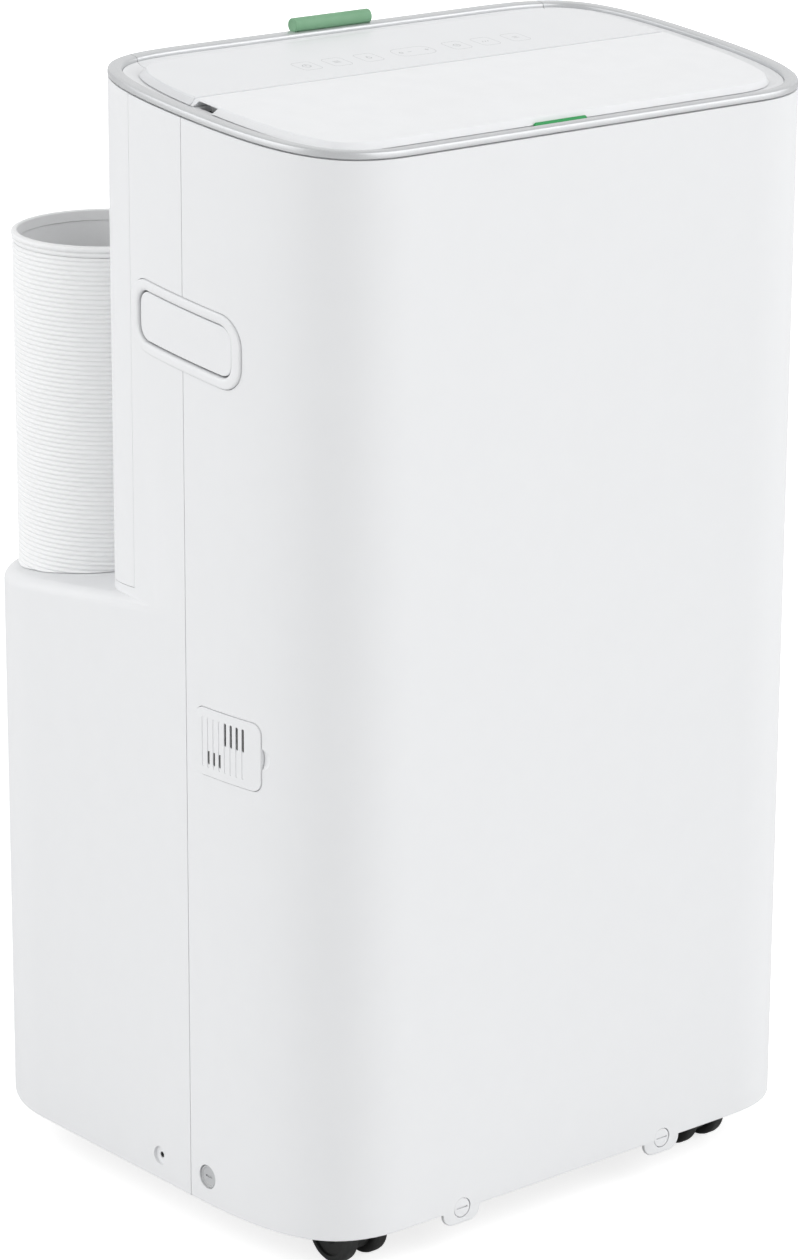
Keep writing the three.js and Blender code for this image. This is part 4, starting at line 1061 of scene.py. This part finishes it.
def plateau():
    drop = top["gutterDrop"] - fit
    edge = top["edgeRound"]
    rings = [planRing(plateauInset(0.8), onTop(-drop)), planRing(plateauInset(1.0), onTop(-drop + 0.3))]
    rings += [
        planRing(plateauInset(0.55), onTop(-drop + 1.2)),
        planRing(plateauInset(0.22), onTop(-edge - 0.5)),
    ]
    for k in range(5):
        angle = k / 4 * math.pi / 2
        inwards = edge * (1 - math.cos(angle))
        base = plateauInset(0.05)
        rings.append(planRing(lambda d, i=inwards: base(d) + i, onTop(-edge + edge * math.sin(angle))))
    return loft(rings)


def controlPanel():
    panel = sliced(plateau(), (0, top["hingeDepth"], 0), (0, -1, 0))
    near = top["hingeDepth"]
    softenWhere(panel, lambda p: abs(p.y - near) < 0.01 and p.z > onTop(-0.2)(near), 0.3)
    return panel


def airFlap():
    # its rear edge is a round nose about the hinge
    nose = top["hingeRound"]
    axis = top["hingeDepth"] - fit - (top["gutterDrop"] - fit) / 2
    height = onTop(-(top["gutterDrop"] - fit) / 2)(axis)
    keep = block(-far, far, -far, axis, -far, far)
    keep = combined(keep, bar("x", -far / 2, axis, height, far, nose, 64), "UNION")
    flap = combined(plateau(), keep, "INTERSECT")
    edge = halfWidth - top["plateauSide"]
    front = top["notchRear"] - top["notchLength"]
    for side in (-1, 1):
        x0, x1 = sorted((side * (edge - top["notchWidth"]), side * far))
        window = block(x0, x1, front, top["notchRear"], -20, -top["notchSkin"])
        lean = Matrix.Identity(4)
        lean[1][2] = -top["notchLean"] / top["gutterDrop"]
        moved(window, lean)
        flap = combined(flap, sheared(window, topSlope, topHeight, upperDepth))
    return flap


piece("controlPanel", controlPanel(), "cabinet", finishes["panelGrey"], ["control_panel"])
piece("airFlap", airFlap(), "flap", white, ["air_flap"])

lamp = {"width": 2.7, "thick": 1.5, "tilt": 58.0, "lift": 0.4, "lead": 0.5}
low, high = extent("status_light")
lampLength = high.x - low.x
strip = roundPlate(lampLength, lamp["width"], lamp["width"] * 0.48, lamp["thick"], 8)
soften(strip, [e for e in sharpEdges(strip) if all(v.co.z > 1 for v in e.verts)], 0.4, 3)
lampPlace = shift((low.x + high.x) / 2, high.y - lamp["lead"], high.z + lamp["lift"] - lamp["width"] / 2)
moved(
    strip,
    lampPlace @ Matrix.Rotation(math.radians(lamp["tilt"]), 4, "X") @ shift(0, 0, -lamp["thick"] / 2),
)
piece("statusLight", strip, "cabinet", finishes["lightGreen"], ["status_light"])
capRim = combined(combined(rimBody(), capBlock(0), "INTERSECT"), tabGroove())
piece("filterCapRim", capRim, "filter", finishes["rimSilver"], ["filter_cap"])
print("top made")

# ---- side fittings ----
def roundRing(length, tall, corner, out, segments=8):
    # a round-cornered outline standing upright: outwards, depth, height
    points = []
    for k, (alongDepth, alongHeight) in enumerate(((1, 1), (-1, 1), (-1, -1), (1, -1))):
        for step in range(segments + 1):
            angle = math.pi / 2 * (k + step / segments)
            y = alongDepth * (length / 2 - corner) + corner * math.cos(angle)
            z = alongHeight * (tall / 2 - corner) + corner * math.sin(angle)
            points.append(Vector((out, y, z)))
    return points


def onSide(bm, side, depth, height, step=4.0):
    # sets a flat body on a side of the cabinet and bends it to the surface there
    moved(bm, shift(0, depth, height))
    low = min(v.co.y for v in bm.verts)
    high = max(v.co.y for v in bm.verts)
    count = int((high - low) / step)
    for k in range(1, count):
        at = low + (high - low) * k / count
        everything = bm.verts[:] + bm.edges[:] + bm.faces[:]
        bmesh.ops.bisect_plane(bm, geom=everything, plane_co=(0, at, 0), plane_no=(0, 1, 0), dist=1e-4)
    for v in bm.verts:
        v.co.x = side * (sideAt(v.co.y) + v.co.x)
    if side < 0:
        bmesh.ops.reverse_faces(bm, faces=bm.faces)
    return bm


def handleCup():
    length, tall, corner = handle["length"], handle["tall"], handle["corner"]
    mouthLength = handle["flapLength"] + 2 * handle["flapGap"]
    mouthTall = handle["flapTall"] + 2 * handle["flapGap"]
    mouthCorner = handle["flapCorner"] + handle["flapGap"]
    proud, pocket = handle["proud"], handle["pocket"]
    reach = handle["swingRoom"]
    shellOut = reach + 2 * handle["cupWall"]
    rings = [
        roundRing(mouthLength + shellOut, mouthTall + shellOut, mouthCorner + shellOut / 2, out)
        for out in (-pocket - 2.5, -3.2)
    ]
    lip = [(0, 0, -2.6), (0, 0, 0.35 * proud), (-0.5, -0.25, 0.72 * proud), (-1.6, -0.8, 0.94 * proud)]
    lip += [(-3.2, -1.6, proud)]
    rings += [roundRing(length + a, tall + a, corner + b, out) for a, b, out in lip]
    inside = [(5.6, 2.8, proud), (3.0, 1.5, 0.9 * proud), (1.0, 0.5, 0.55 * proud), (0, 0, -0.1), (0, 0, -4)]
    inside += [(reach, reach / 2, -6), (reach, reach / 2, -pocket + 2), (-2, -1, -pocket)]
    rings += [roundRing(mouthLength + a, mouthTall + a, mouthCorner + b, out) for a, b, out in inside]
    return loft(rings)


def handleFlap():
    length, tall, corner = handle["flapLength"], handle["flapTall"], handle["flapCorner"]
    face = -0.4
    steps = [
        (-1.2, -0.6, -handle["flapThick"]), (0, 0, 0.5 - handle["flapThick"]), (0, 0, -0.7),
        (-0.35, -0.17, -0.25), (-1.2, -0.6, 0),
    ]
    return loft([roundRing(length + a, tall + a, corner + b, face + out) for a, b, out in steps])


def slotBar(width, tall, out, thick, depth, height):
    # a slot's round-ended body, standing upright on the flat
    slot = roundPlate(width, tall, width * 0.48, thick, 6)
    upright = Matrix(((0, 0, 1, out), (1, 0, 0, depth), (0, 1, 0, height), (0, 0, 0, 1)))
    return moved(slot, upright)


def sensorCover():
    length, tall, corner, proud = (sensor[key] for key in ("length", "tall", "corner", "proud"))
    steps = [(0, 0, -2.6), (0, 0, proud - 0.5), (-0.3, -0.15, proud - 0.15), (-1.0, -0.5, proud)]
    cover = loft([roundRing(length + a, tall + a, corner + b, out) for a, b, out in steps])
    grooveTall = tall - 2 * sensor["grooveMargin"]
    under = proud - sensor["grooveDepth"]
    grooves = [slotBar(sensor["grooveWidth"], grooveTall, under, 5, depth, 0) for depth in grooveDepths()]
    cover = combined(cover, added(*grooves))
    return combined(cover, sensorSlots(0, -5, 12))


def grooveDepths():
    start = sensor["length"] / 2 - sensor["border"]
    return [start - k * sensor["groovePitch"] for k in range(sensor["grooves"])]


def sensorSlots(slack, out, thick):
    # the open part of each groove: long ones above at the front, short ones below
    grooveTall = sensor["tall"] - 2 * sensor["grooveMargin"]
    width = sensor["grooveWidth"] - slack
    upperTall, lowerTall = grooveTall * sensor["upperShare"], grooveTall * sensor["lowerShare"]
    depths = grooveDepths()
    first = len(depths) - sensor["upperSlots"]
    slots = [
        slotBar(width, upperTall - slack, out, thick, d, (grooveTall - upperTall) / 2)
        for d in depths[first:]
    ]
    slots += [
        slotBar(width, lowerTall - slack, out, thick, d, -grooveTall * sensor["lowerDrop"])
        for d in depths[1:first]
    ]
    return added(*slots)


def sensorShadeSheet():
    # a dark sheet behind the cover, pressed up into its slots; it is painted shade standing in for the dark
    # inside seen through the open slots
    rings = [
        roundRing(sensor["length"] - 6, sensor["tall"] - 6, sensor["corner"] - 2, out)
        for out in (-3.2, -2.7)
    ]
    return combined(
        loft(rings), sensorSlots(0.1, -3.0, 3.0 + sensor["proud"] - sensor["shadeSheetSunk"]), "UNION",
    )


cup, flapBody = handleCup(), handleFlap()
for side, label in ((-1, "left"), (1, "right")):
    name = label.capitalize()
    bezel = alongTop(onSide(cup.copy(), side, handle["depth"], handle["height"]))
    piece(f"handleCup{name}", bezel, "cabinet", white, [f"handle_cup_{label}"], smooth=40)
    panel = alongTop(onSide(flapBody.copy(), side, handle["depth"], handle["height"]))
    piece(
        f"handleFlap{name}", panel, f"handle_{label}", white, [f"handle_flap_{label}"],
        smooth=40,
    )
# a dark sheet of painted shade behind the sensor cover, filling its open slots
piece(
    "sensorShadeSheet", onSide(sensorShadeSheet(), -1, sensorDepth, sensorMiddle), "sensor_lid",
    finishes["casterBlack"],
)
cover = onSide(sensorCover(), -1, sensorDepth, sensorMiddle)
piece("sensorCover", cover, "sensor_lid", white, ["sensor_cover"])
print("side fittings made")

# ---- hose ----
hose = {
    "ridges": 64,
    "ridgeHeight": 1.1,
    "liningGap": 3.0,  # outer skin to the smooth inside
    "sides": 96,
    "collarLip": 1.6,
    "collarWall": 4.2,
    "collarInset": 0.6,  # collar's ribs inside its lip
}
hoseLow, hoseHigh = extent("exhaust_hose")
hoseX, hoseDepth = (hoseLow.x + hoseHigh.x) / 2, (hoseLow.y + hoseHigh.y) / 2
hoseRadius = (hoseHigh.x - hoseLow.x) / 2
collarLow, collarHigh = extent("hose_collar")


def hoseSkin():
    # a ribbed tube wound as one long spiral, cut level at both ends
    pitch = (hoseHigh.z - hoseLow.z) / hose["ridges"]
    crest, valley = hoseRadius, hoseRadius - hose["ridgeHeight"]
    shape = [
        (crest, 0), (crest - 0.12, 0.2), (valley + 0.35, 0.36), (valley, 0.5), (valley + 0.35, 0.64),
        (crest - 0.12, 0.8),
    ]
    profile = []
    for k in range(-9, hose["ridges"] + 1):
        profile += [(radius, hoseLow.z + (k + share) * pitch) for radius, share in shape]
    bm = bmesh.new()
    verts = [bm.verts.new((radius, 0, z)) for radius, z in profile]
    edges = [bm.edges.new(pair) for pair in zip(verts, verts[1:])]
    bmesh.ops.spin(
        bm, geom=verts + edges, cent=(0, 0, 0), axis=(0, 0, 1), dvec=(0, 0, pitch / hose["sides"]),
        angle=2 * math.pi, steps=hose["sides"], use_merge=False,
    )
    bmesh.ops.remove_doubles(bm, verts=bm.verts, dist=1e-3)
    slope = cabinet["ledgeSlope"]
    for z, facing in ((onLedge(fit)(hoseDepth), (0, -slope, -1)), (hoseHigh.z, (0, 0, 1))):
        everything = bm.verts[:] + bm.edges[:] + bm.faces[:]
        bmesh.ops.bisect_plane(
            bm, geom=everything, plane_co=(0, 0, z), plane_no=facing, clear_outer=True, dist=1e-4,
        )
        plane = Vector(facing).normalized()
        rim = [
            e
            for e in bm.edges if e.is_boundary and all(
                abs((v.co - Vector((0, 0, z))).dot(plane)) < 0.01 for v in e.verts
            )
        ]
        ends = bmesh.ops.extrude_edge_only(bm, edges=rim)["geom"]
        inner = [v for v in ends if isinstance(v, bmesh.types.BMVert)]
        for v in inner:
            v.co.xy = v.co.xy.normalized() * (hoseRadius - hose["liningGap"])
    rims = [e for e in bm.edges if e.is_boundary]
    bmesh.ops.bridge_loops(bm, edges=rims)
    bmesh.ops.recalc_face_normals(bm, faces=bm.faces)
    return bm


skin = moved(hoseSkin(), shift(hoseX, hoseDepth, 0))
moved(skin, toFrame)
mesh = bpy.data.meshes.new("exhaustHose")
skin.to_mesh(mesh)
skin.free()
mesh.materials.append(finishes["hoseWhite"])
mesh.polygons.foreach_set("use_smooth", [True] * len(mesh.polygons))
mesh.set_sharp_from_angle(angle=math.radians(60))
exhaustHose = bpy.data.objects.new("exhaustHose", mesh)
scene.collection.objects.link(exhaustHose)
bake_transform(exhaustHose)
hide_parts("exhaust_hose")


def hoseCollar():
    # ribbed like the hose, with a smooth lip on top
    outer = (collarHigh.x - collarLow.x) / 2
    inner = outer - hose["collarWall"]
    low, high, lip = collarLow.z, collarHigh.z, hose["collarLip"]
    pitch, deep = (hoseHigh.z - hoseLow.z) / hose["ridges"], hose["ridgeHeight"]
    crest = outer - hose["collarInset"]
    profile = [(inner, low), (crest - deep, low)]
    for k in range(int((high - low - 2.1 * lip) / pitch)):
        ridgeFoot = low + 0.2 + k * pitch
        profile += [
            (crest - deep, ridgeFoot + 0.1 * pitch), (crest, ridgeFoot + 0.3 * pitch),
            (crest, ridgeFoot + 0.75 * pitch),
        ]
        profile += [(crest - deep, ridgeFoot + 0.95 * pitch)]
    profile += [
        (crest - deep, high - 2.1 * lip), (outer - 0.3, high - 1.9 * lip), (outer, high - 1.5 * lip),
        (outer, high - lip),
    ]
    profile += [
        (outer - 0.3, high - 0.4 * lip), (outer - lip, high), (inner + 0.8, high), (inner, high - 0.8),
    ]
    return moved(turned(profile, 96), shift(hoseX, hoseDepth, 0))


def hoseSocket():
    # the sleeve inside the foot of the hose
    low, high = extent("hose_socket")
    outer = hoseRadius - hose["liningGap"] - fit
    bore = outer - 3.2
    profile = [
        (bore, low.z), (outer, low.z), (outer, high.z - 0.5), (outer - 0.5, high.z), (bore + 0.5, high.z),
        (bore, high.z - 0.5),
    ]
    return moved(turned(profile, 96), shift(hoseX, hoseDepth, 0))


piece(
    "hoseSocket", hoseSocket(), "cabinet", finishes["hoseWhite"], ["hose_socket"],
    smooth=40,
)
piece(
    "hoseCollar", hoseCollar(), "hose_end", finishes["hoseWhite"], ["hose_collar"],
    smooth=40,
)
print("hose made")

# ---- pull tab ----
tabRadius = (tabHigh.z - tabLow.z) / 2


def pullTab():
    length = tabHigh.x - tabLow.x
    r = tabRadius
    end = [(0, 0.25), (r - 1.5, 0.25), (r - 1.2, 0), (r - 0.45, 0), (r - 0.12, 0.15), (r, 0.5)]
    profile = end + [(radius, length - z) for radius, z in reversed(end)]
    return moved(
        turned(profile, 48), shift(tabLow.x, tabHigh.y - tabRadius, tabHigh.z - tabRadius) @ alongX,
    )


piece("pullTab", pullTab(), "filter", finishes["tabGreen"], ["pull_tab"], smooth=40)

# ---- casters ----
caster = {
    "wheelRadius": 20.0,
    "wheelWidth": 11.0,
    "spacing": 24.0,
    "trail": 14.0,
    "hoodGap": 1.0,
    "hoodRadius": 23.0,
    "axleRadius": 3.0,
    "plateRadius": 14.0,
    "stemRadius": 5.5,
    "hoodRound": 2.2,
}


def casterWheel():
    r, half, bore = caster["wheelRadius"], caster["wheelWidth"] / 2, caster["axleRadius"] + 0.4
    profile = [
        (bore, -half), (r - 3.5, -half), (r - 1.6, -half + 0.5), (r - 0.4, -half + 1.7), (r, -half + 3.2),
        (r, half - 3.2),
    ]
    profile += [
        (r - 0.4, half - 1.7), (r - 1.6, half - 0.5), (r - 3.5, half), (r - 5, half),
        (r - 5.4, half - 1.8), (7.4, half - 1.8),
    ]
    profile += [(6.4, half - 0.6), (5.6, half - 0.2), (bore, half - 0.2)]
    return moved(turned(profile, 48), alongX)


def casterHood():
    r, trail = caster["wheelRadius"], caster["trail"]
    width = caster["spacing"] + caster["wheelWidth"] + 2
    web = caster["spacing"] - caster["wheelWidth"] - 0.8
    low, high = extent("caster_front_left_fork")
    plateTop, plate = 2 * r + 3, caster["plateRadius"]
    hood = bar("x", -width / 2, -trail, r, width, caster["hoodRadius"], 64)
    soften(hood, sharpEdges(hood, 70), caster["hoodRound"], 4)
    hood = combined(hood, bar("x", -far / 2, -trail, r, far, r + caster["hoodGap"], 64))
    hood = combined(hood, block(-far, far, -far, far, -far, r + 4))
    neck = block(-web / 2, web / 2, -trail + 6, caster["stemRadius"] + 4, r + 8, plateTop)
    plateBody = bar("z", 0, 0, plateTop - 4, 5, plate, 48)
    soften(plateBody, sharpEdges(plateBody, 70), 0.8, 2)
    ends = combined(plateBody, neck, "UNION")
    for x in (-far / 2, web / 2):
        ends = combined(
            ends,
            bar("x", x, -trail, r, far / 2 - web / 2 if x < 0 else far / 2, r + caster["hoodGap"], 64),
        )
    hood = combined(hood, ends, "UNION")
    rib = block(-web / 2, web / 2, -trail - 12, -trail + 8, r, plateTop - 2, 0.6)
    hood = combined(hood, rib, "UNION")
    middle = bar("x", -web / 2, -trail, r, web, r - 5, 40)
    soften(middle, sharpEdges(middle, 70), 0.8, 2)
    hood = combined(hood, middle, "UNION")
    hood = combined(
        hood, bar("x", -width / 2 + 1, -trail, r, width - 2, caster["axleRadius"], 32), "UNION",
    )
    return combined(
        hood, bar("z", 0, 0, plateTop - 1, high.z - plateTop + 1, caster["stemRadius"], 32), "UNION",
    )


hoodBody, wheelBody = casterHood(), casterWheel()
black = finishes["casterBlack"]
for corner in ("front_left", "front_right", "rear_left", "rear_right"):
    low, high = extent(f"caster_{corner}_fork")
    name = "".join(word.capitalize() for word in corner.split("_"))
    stem = shift((low.x + high.x) / 2, high.y - caster["plateRadius"], 0)
    piece(
        f"casterFork{name}", moved(hoodBody.copy(), stem), f"caster_{corner}", black,
        [f"caster_{corner}_fork"],
    )
    for letter, side in (("a", -1), ("b", 1)):
        low, high = extent(f"caster_{corner}_wheel_{letter}")
        place = Matrix.Translation((low + high) / 2) @ Matrix.Rotation(math.pi if side < 0 else 0, 4, "Z")
        node = f"caster_{corner}_wheel_{letter}"
        piece(
            f"wheel{name}{letter.upper()}", moved(wheelBody.copy(), place), f"wheel_{corner}_{letter}",
            black, [node],
        )
print("casters made")

# ---- locks, side drain plug, screw and touch marks ----
smallParts = {
    "coinSlot": (9.0, 1.0, 1.3),  # length, width, depth
    "crossArm": (4.6, 0.9, 1.2),
    "screwSunk": 3.4,
    "plugGrip": (6.0, 1.4, 1.0),
}


def lockDisc(x, height):
    low, high = extent("lock_disc_left")
    radius, thick = locks["radius"], high.y - low.y
    profile = [
        (0, 0), (radius - 0.7, 0), (radius - 0.2, 0.2), (radius, 0.7), (radius, cabinet["wall"] - 0.3),
        (3, cabinet["wall"] - 0.3), (3, thick), (0, thick),
    ]
    disc = moved(turned(profile, 48), shift(x, low.y, height) @ alongBack)
    length, width, deep = smallParts["coinSlot"]
    slot = block(
        x - length / 2, x + length / 2, low.y - 1, low.y + deep, height - width / 2, height + width / 2,
    )
    return combined(disc, slot)


def sidePlug():
    radius = (plugHigh.y - plugLow.y) / 2
    face, back = -plugLow.x, -plugHigh.x
    profile = [
        (0, back), (radius - 1.2, back), (radius - 1.2, face - 3.2), (radius, face - 2.8),
        (radius, face - 0.5), (radius - 0.5, face), (radius - 1.4, face), (radius - 1.8, face - 0.5),
        (0, face - 0.5),
    ]
    plug = turned(profile, 48)
    length, width, deep = smallParts["plugGrip"]
    plug = combined(
        plug, block(-width / 2, width / 2, -length / 2, length / 2, face - 0.5 - deep, face + 2),
    )
    return moved(plug, shift(0, drainDepth, drainHeight) @ Matrix.Rotation(-math.pi / 2, 4, "Y"))


def sideScrew():
    face = -screwLow.x - smallParts["screwSunk"] + 0.1
    head = 4.0
    profile = [
        (0, -screwHigh.x), (1.9, -screwHigh.x), (1.9, face - 2.0), (head, face - 1.0),
        (head, face - 0.45), (head - 0.5, face - 0.1), (0, face),
    ]
    screw = turned(profile, 40)
    length, width, deep = smallParts["crossArm"]
    for a, b in ((length, width), (width, length)):
        screw = combined(screw, block(-a / 2, a / 2, -b / 2, b / 2, face - deep, face + 2))
    turn = Matrix.Rotation(math.radians(24), 4, "Z")
    return moved(screw, shift(0, screwDepth, screwHeight) @ Matrix.Rotation(-math.pi / 2, 4, "Y") @ turn)


for side, (x, height) in lockPlaces.items():
    piece(
        f"lockDisc{side.capitalize()}", lockDisc(x, height), f"lock_{side}", white,
        [f"lock_disc_{side}"], smooth=40,
    )
piece(
    "sideDrainPlug", sidePlug(), "side_plug", finishes["softGrey"], ["side_drain_plug"],
    smooth=40,
)
piece("sideScrew", sideScrew(), "cabinet", finishes["screwSteel"], ["side_screw"], smooth=40)


def touchMarks():
    # thin generic symbols on the control panel
    mark = {
        "depth": 171.0, "line": 0.5, "rise": 0.03, "size": 3.0, "field": (15.0, 17.0), "wideField": 31.0,
    }
    line, size = mark["line"], mark["size"]

    def stroke(x, y, length, angle=0.0):
        strip = block(-length / 2, length / 2, -line / 2, line / 2, -0.15, mark["rise"])
        return moved(strip, shift(x, mark["depth"] + y, 0) @ Matrix.Rotation(angle, 4, "Z"))

    def hoop(x, y, radius):
        ring = turned(
            [
                (radius - line, -0.15), (radius, -0.15), (radius, mark["rise"]),
                (radius - line, mark["rise"]),
            ],
            28,
        )
        return moved(ring, shift(x, mark["depth"] + y, 0))

    def field(x, width):
        # the thin outline of one touch field
        tall, thick = mark["field"][1], 0.15 + mark["rise"]
        outside = roundPlate(width, tall, width * 0.22 if width < 20 else 7, thick)
        inside = moved(
            roundPlate(width - line, tall - line, width * 0.2 if width < 20 else 6.8, 1),
            shift(0, 0, -0.5),
        )
        return moved(combined(outside, inside), shift(x, mark["depth"], -0.15))

    parts = [
        field(x, mark["field"][0]) for x in (-82.5, -58.5, -33.0, 39.5, 63.5, 89.0)
    ] + [field(3.5, mark["wideField"])]
    parts += [hoop(-82.5, 0, size), stroke(-82.5, size * 0.45, size * 1.1, math.pi / 2)]
    parts += [stroke(-58.5, k * 1.5, size * 1.6) for k in (-1, 0, 1)]
    parts += [hoop(-33.0, -0.6, size * 0.6), stroke(-33.0, 1.9, size * 0.8, math.pi / 2)]
    parts += [
        hoop(-6.5, 0, size * 0.5), stroke(0.5, 0, 3.2), stroke(14.5, 0, 3.2),
        stroke(14.5, 0, 3.2, math.pi / 2),
    ]
    parts += [hoop(39.5, 0, size * 0.85), stroke(39.5, 0.4, 1.2, math.pi / 2), stroke(40.0, 0, 1.2)]
    parts += [stroke(63.5 + k * 2.2, 0, 2.6, math.pi / 3) for k in (-1, 0, 1)]
    parts += [stroke(89.0, 1.1, size * 1.5), stroke(89.0, -1.1, size * 1.5)]
    return sheared(added(*parts), topSlope, topHeight, upperDepth)


piece("touchMarks", touchMarks(), "cabinet", finishes["iconGrey"], weighted=False)
print("small parts made")

# ---- finishes on the frame's own solids ----
solidFinishes = {
    "darkPlastic": [
        "base_pan", "evaporator_blower", "condenser_blower", "control_box", "guide_vane_1",
        "guide_vane_2", "guide_vane_3",
    ],
    "shellWhite": [
        "evaporator_housing", "condenser_housing", "outlet_duct", "drip_tray", "filter_frame",
        "room_sensor",
    ],
    "softGrey": ["rear_drain_plug", "filter_net"],
    "rubberBlack": ["cord_gland"],
    "zincSteel": ["evaporator_motor", "condenser_motor", "flap_motor"],
    "finAluminium": ["evaporator_coil", "condenser_coil"],
    "copperTube": ["discharge_pipe", "suction_pipe"],
    "compressorBlack": ["compressor"],
}
for finish, nodes in solidFinishes.items():
    for node in nodes:
        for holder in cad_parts[node].material_slots:
            holder.material = finishes[finish]
print("frame solids finished")

# ---- floor, light and camera ----
studio = {
    "floorColour": (0.69, 0.69, 0.69),
    "floorShade": (0.71, 0.71, 0.71),
    "floorGlow": 0.75,
    "worldStrength": 0.62,
    "sideSun": 1.5,
    "sideTurn": (-0.89, 0.45, 0.36),
    "frontSun": 1.75,
    "frontTurn": (0.60, -0.80, 0.36),
    "backSun": 0.35,
    "backTurn": (0.6, 0.8, 0.5),
    "sunSpread": 70.0,
}
camera = {
    "place": (-1.797, -2.145, 1.2073),
    "turn": -40.11,
    "drop": 17.08,
    "roll": 0.26,
    "lens": 85.008,
}
floor = bpy.data.materials.new("studioFloor")
floor.use_nodes = True
floorTree = floor.node_tree
floorShader = floorTree.nodes["Principled BSDF"]
floorPlace = floorTree.nodes.new("ShaderNodeTexCoord").outputs["Object"]
tone = blendColour(
    floorTree, noiseNode(floorTree, floorPlace, 3.0), studio["floorColour"], studio["floorShade"],
)
wire(floorTree, [(tone, floorShader.inputs["Base Color"])])
floorShader.inputs["Roughness"].default_value = 0.9
floorShader.inputs["Emission Color"].default_value = (1, 1, 1, 1)
seen = floorTree.nodes.new("ShaderNodeLightPath").outputs["Is Camera Ray"]
wire(
    floorTree,
    [
        (
            mathNode(floorTree, "MULTIPLY", seen, studio["floorGlow"]),
            floorShader.inputs["Emission Strength"],
        )
    ],
)
floorSheet = bmesh.new()
bmesh.ops.create_grid(floorSheet, x_segments=1, y_segments=1, size=30)
floorMesh = bpy.data.meshes.new("studioFloor")
floorSheet.to_mesh(floorMesh)
floorSheet.free()
floorMesh.materials.append(floor)
floorThing = bpy.data.objects.new("studioFloor", floorMesh)
scene.collection.objects.link(floorThing)

world = bpy.data.worlds.new("studio")
world.use_nodes = True
scene.world = world
background = world.node_tree.nodes["Background"]
background.inputs["Color"].default_value = (1, 1, 1, 1)
background.inputs["Strength"].default_value = studio["worldStrength"]
for name in ("side", "front", "back"):
    light = bpy.data.lights.new(name + "Light", "SUN")
    light.energy = studio[name + "Sun"]
    light.angle = math.radians(studio["sunSpread"])
    thing = bpy.data.objects.new(name + "Light", light)
    thing.rotation_euler = Vector(studio[name + "Turn"]).to_track_quat("Z", "Y").to_euler()
    scene.collection.objects.link(thing)

turn, drop = math.radians(camera["turn"]), math.radians(camera["drop"])
forward = Vector((-math.sin(turn) * math.cos(drop), math.cos(turn) * math.cos(drop), -math.sin(drop)))
right = forward.cross(Vector((0, 0, 1))).normalized()
up = right.cross(forward)
roll = math.radians(camera["roll"])
rightRolled = right * math.cos(roll) + up * math.sin(roll)
upRolled = up * math.cos(roll) - right * math.sin(roll)
eye = bpy.data.cameras.new("camera")
eye.sensor_fit = "AUTO"
eye.sensor_width = 24
eye.lens = camera["lens"]
eye.clip_end = 100
viewer = bpy.data.objects.new("camera", eye)
aim = Matrix((rightRolled, upRolled, -forward)).transposed().to_4x4()
viewer.matrix_world = Matrix.Translation(camera["place"]) @ aim
scene.collection.objects.link(viewer)
scene.camera = viewer

print("stage and camera set")
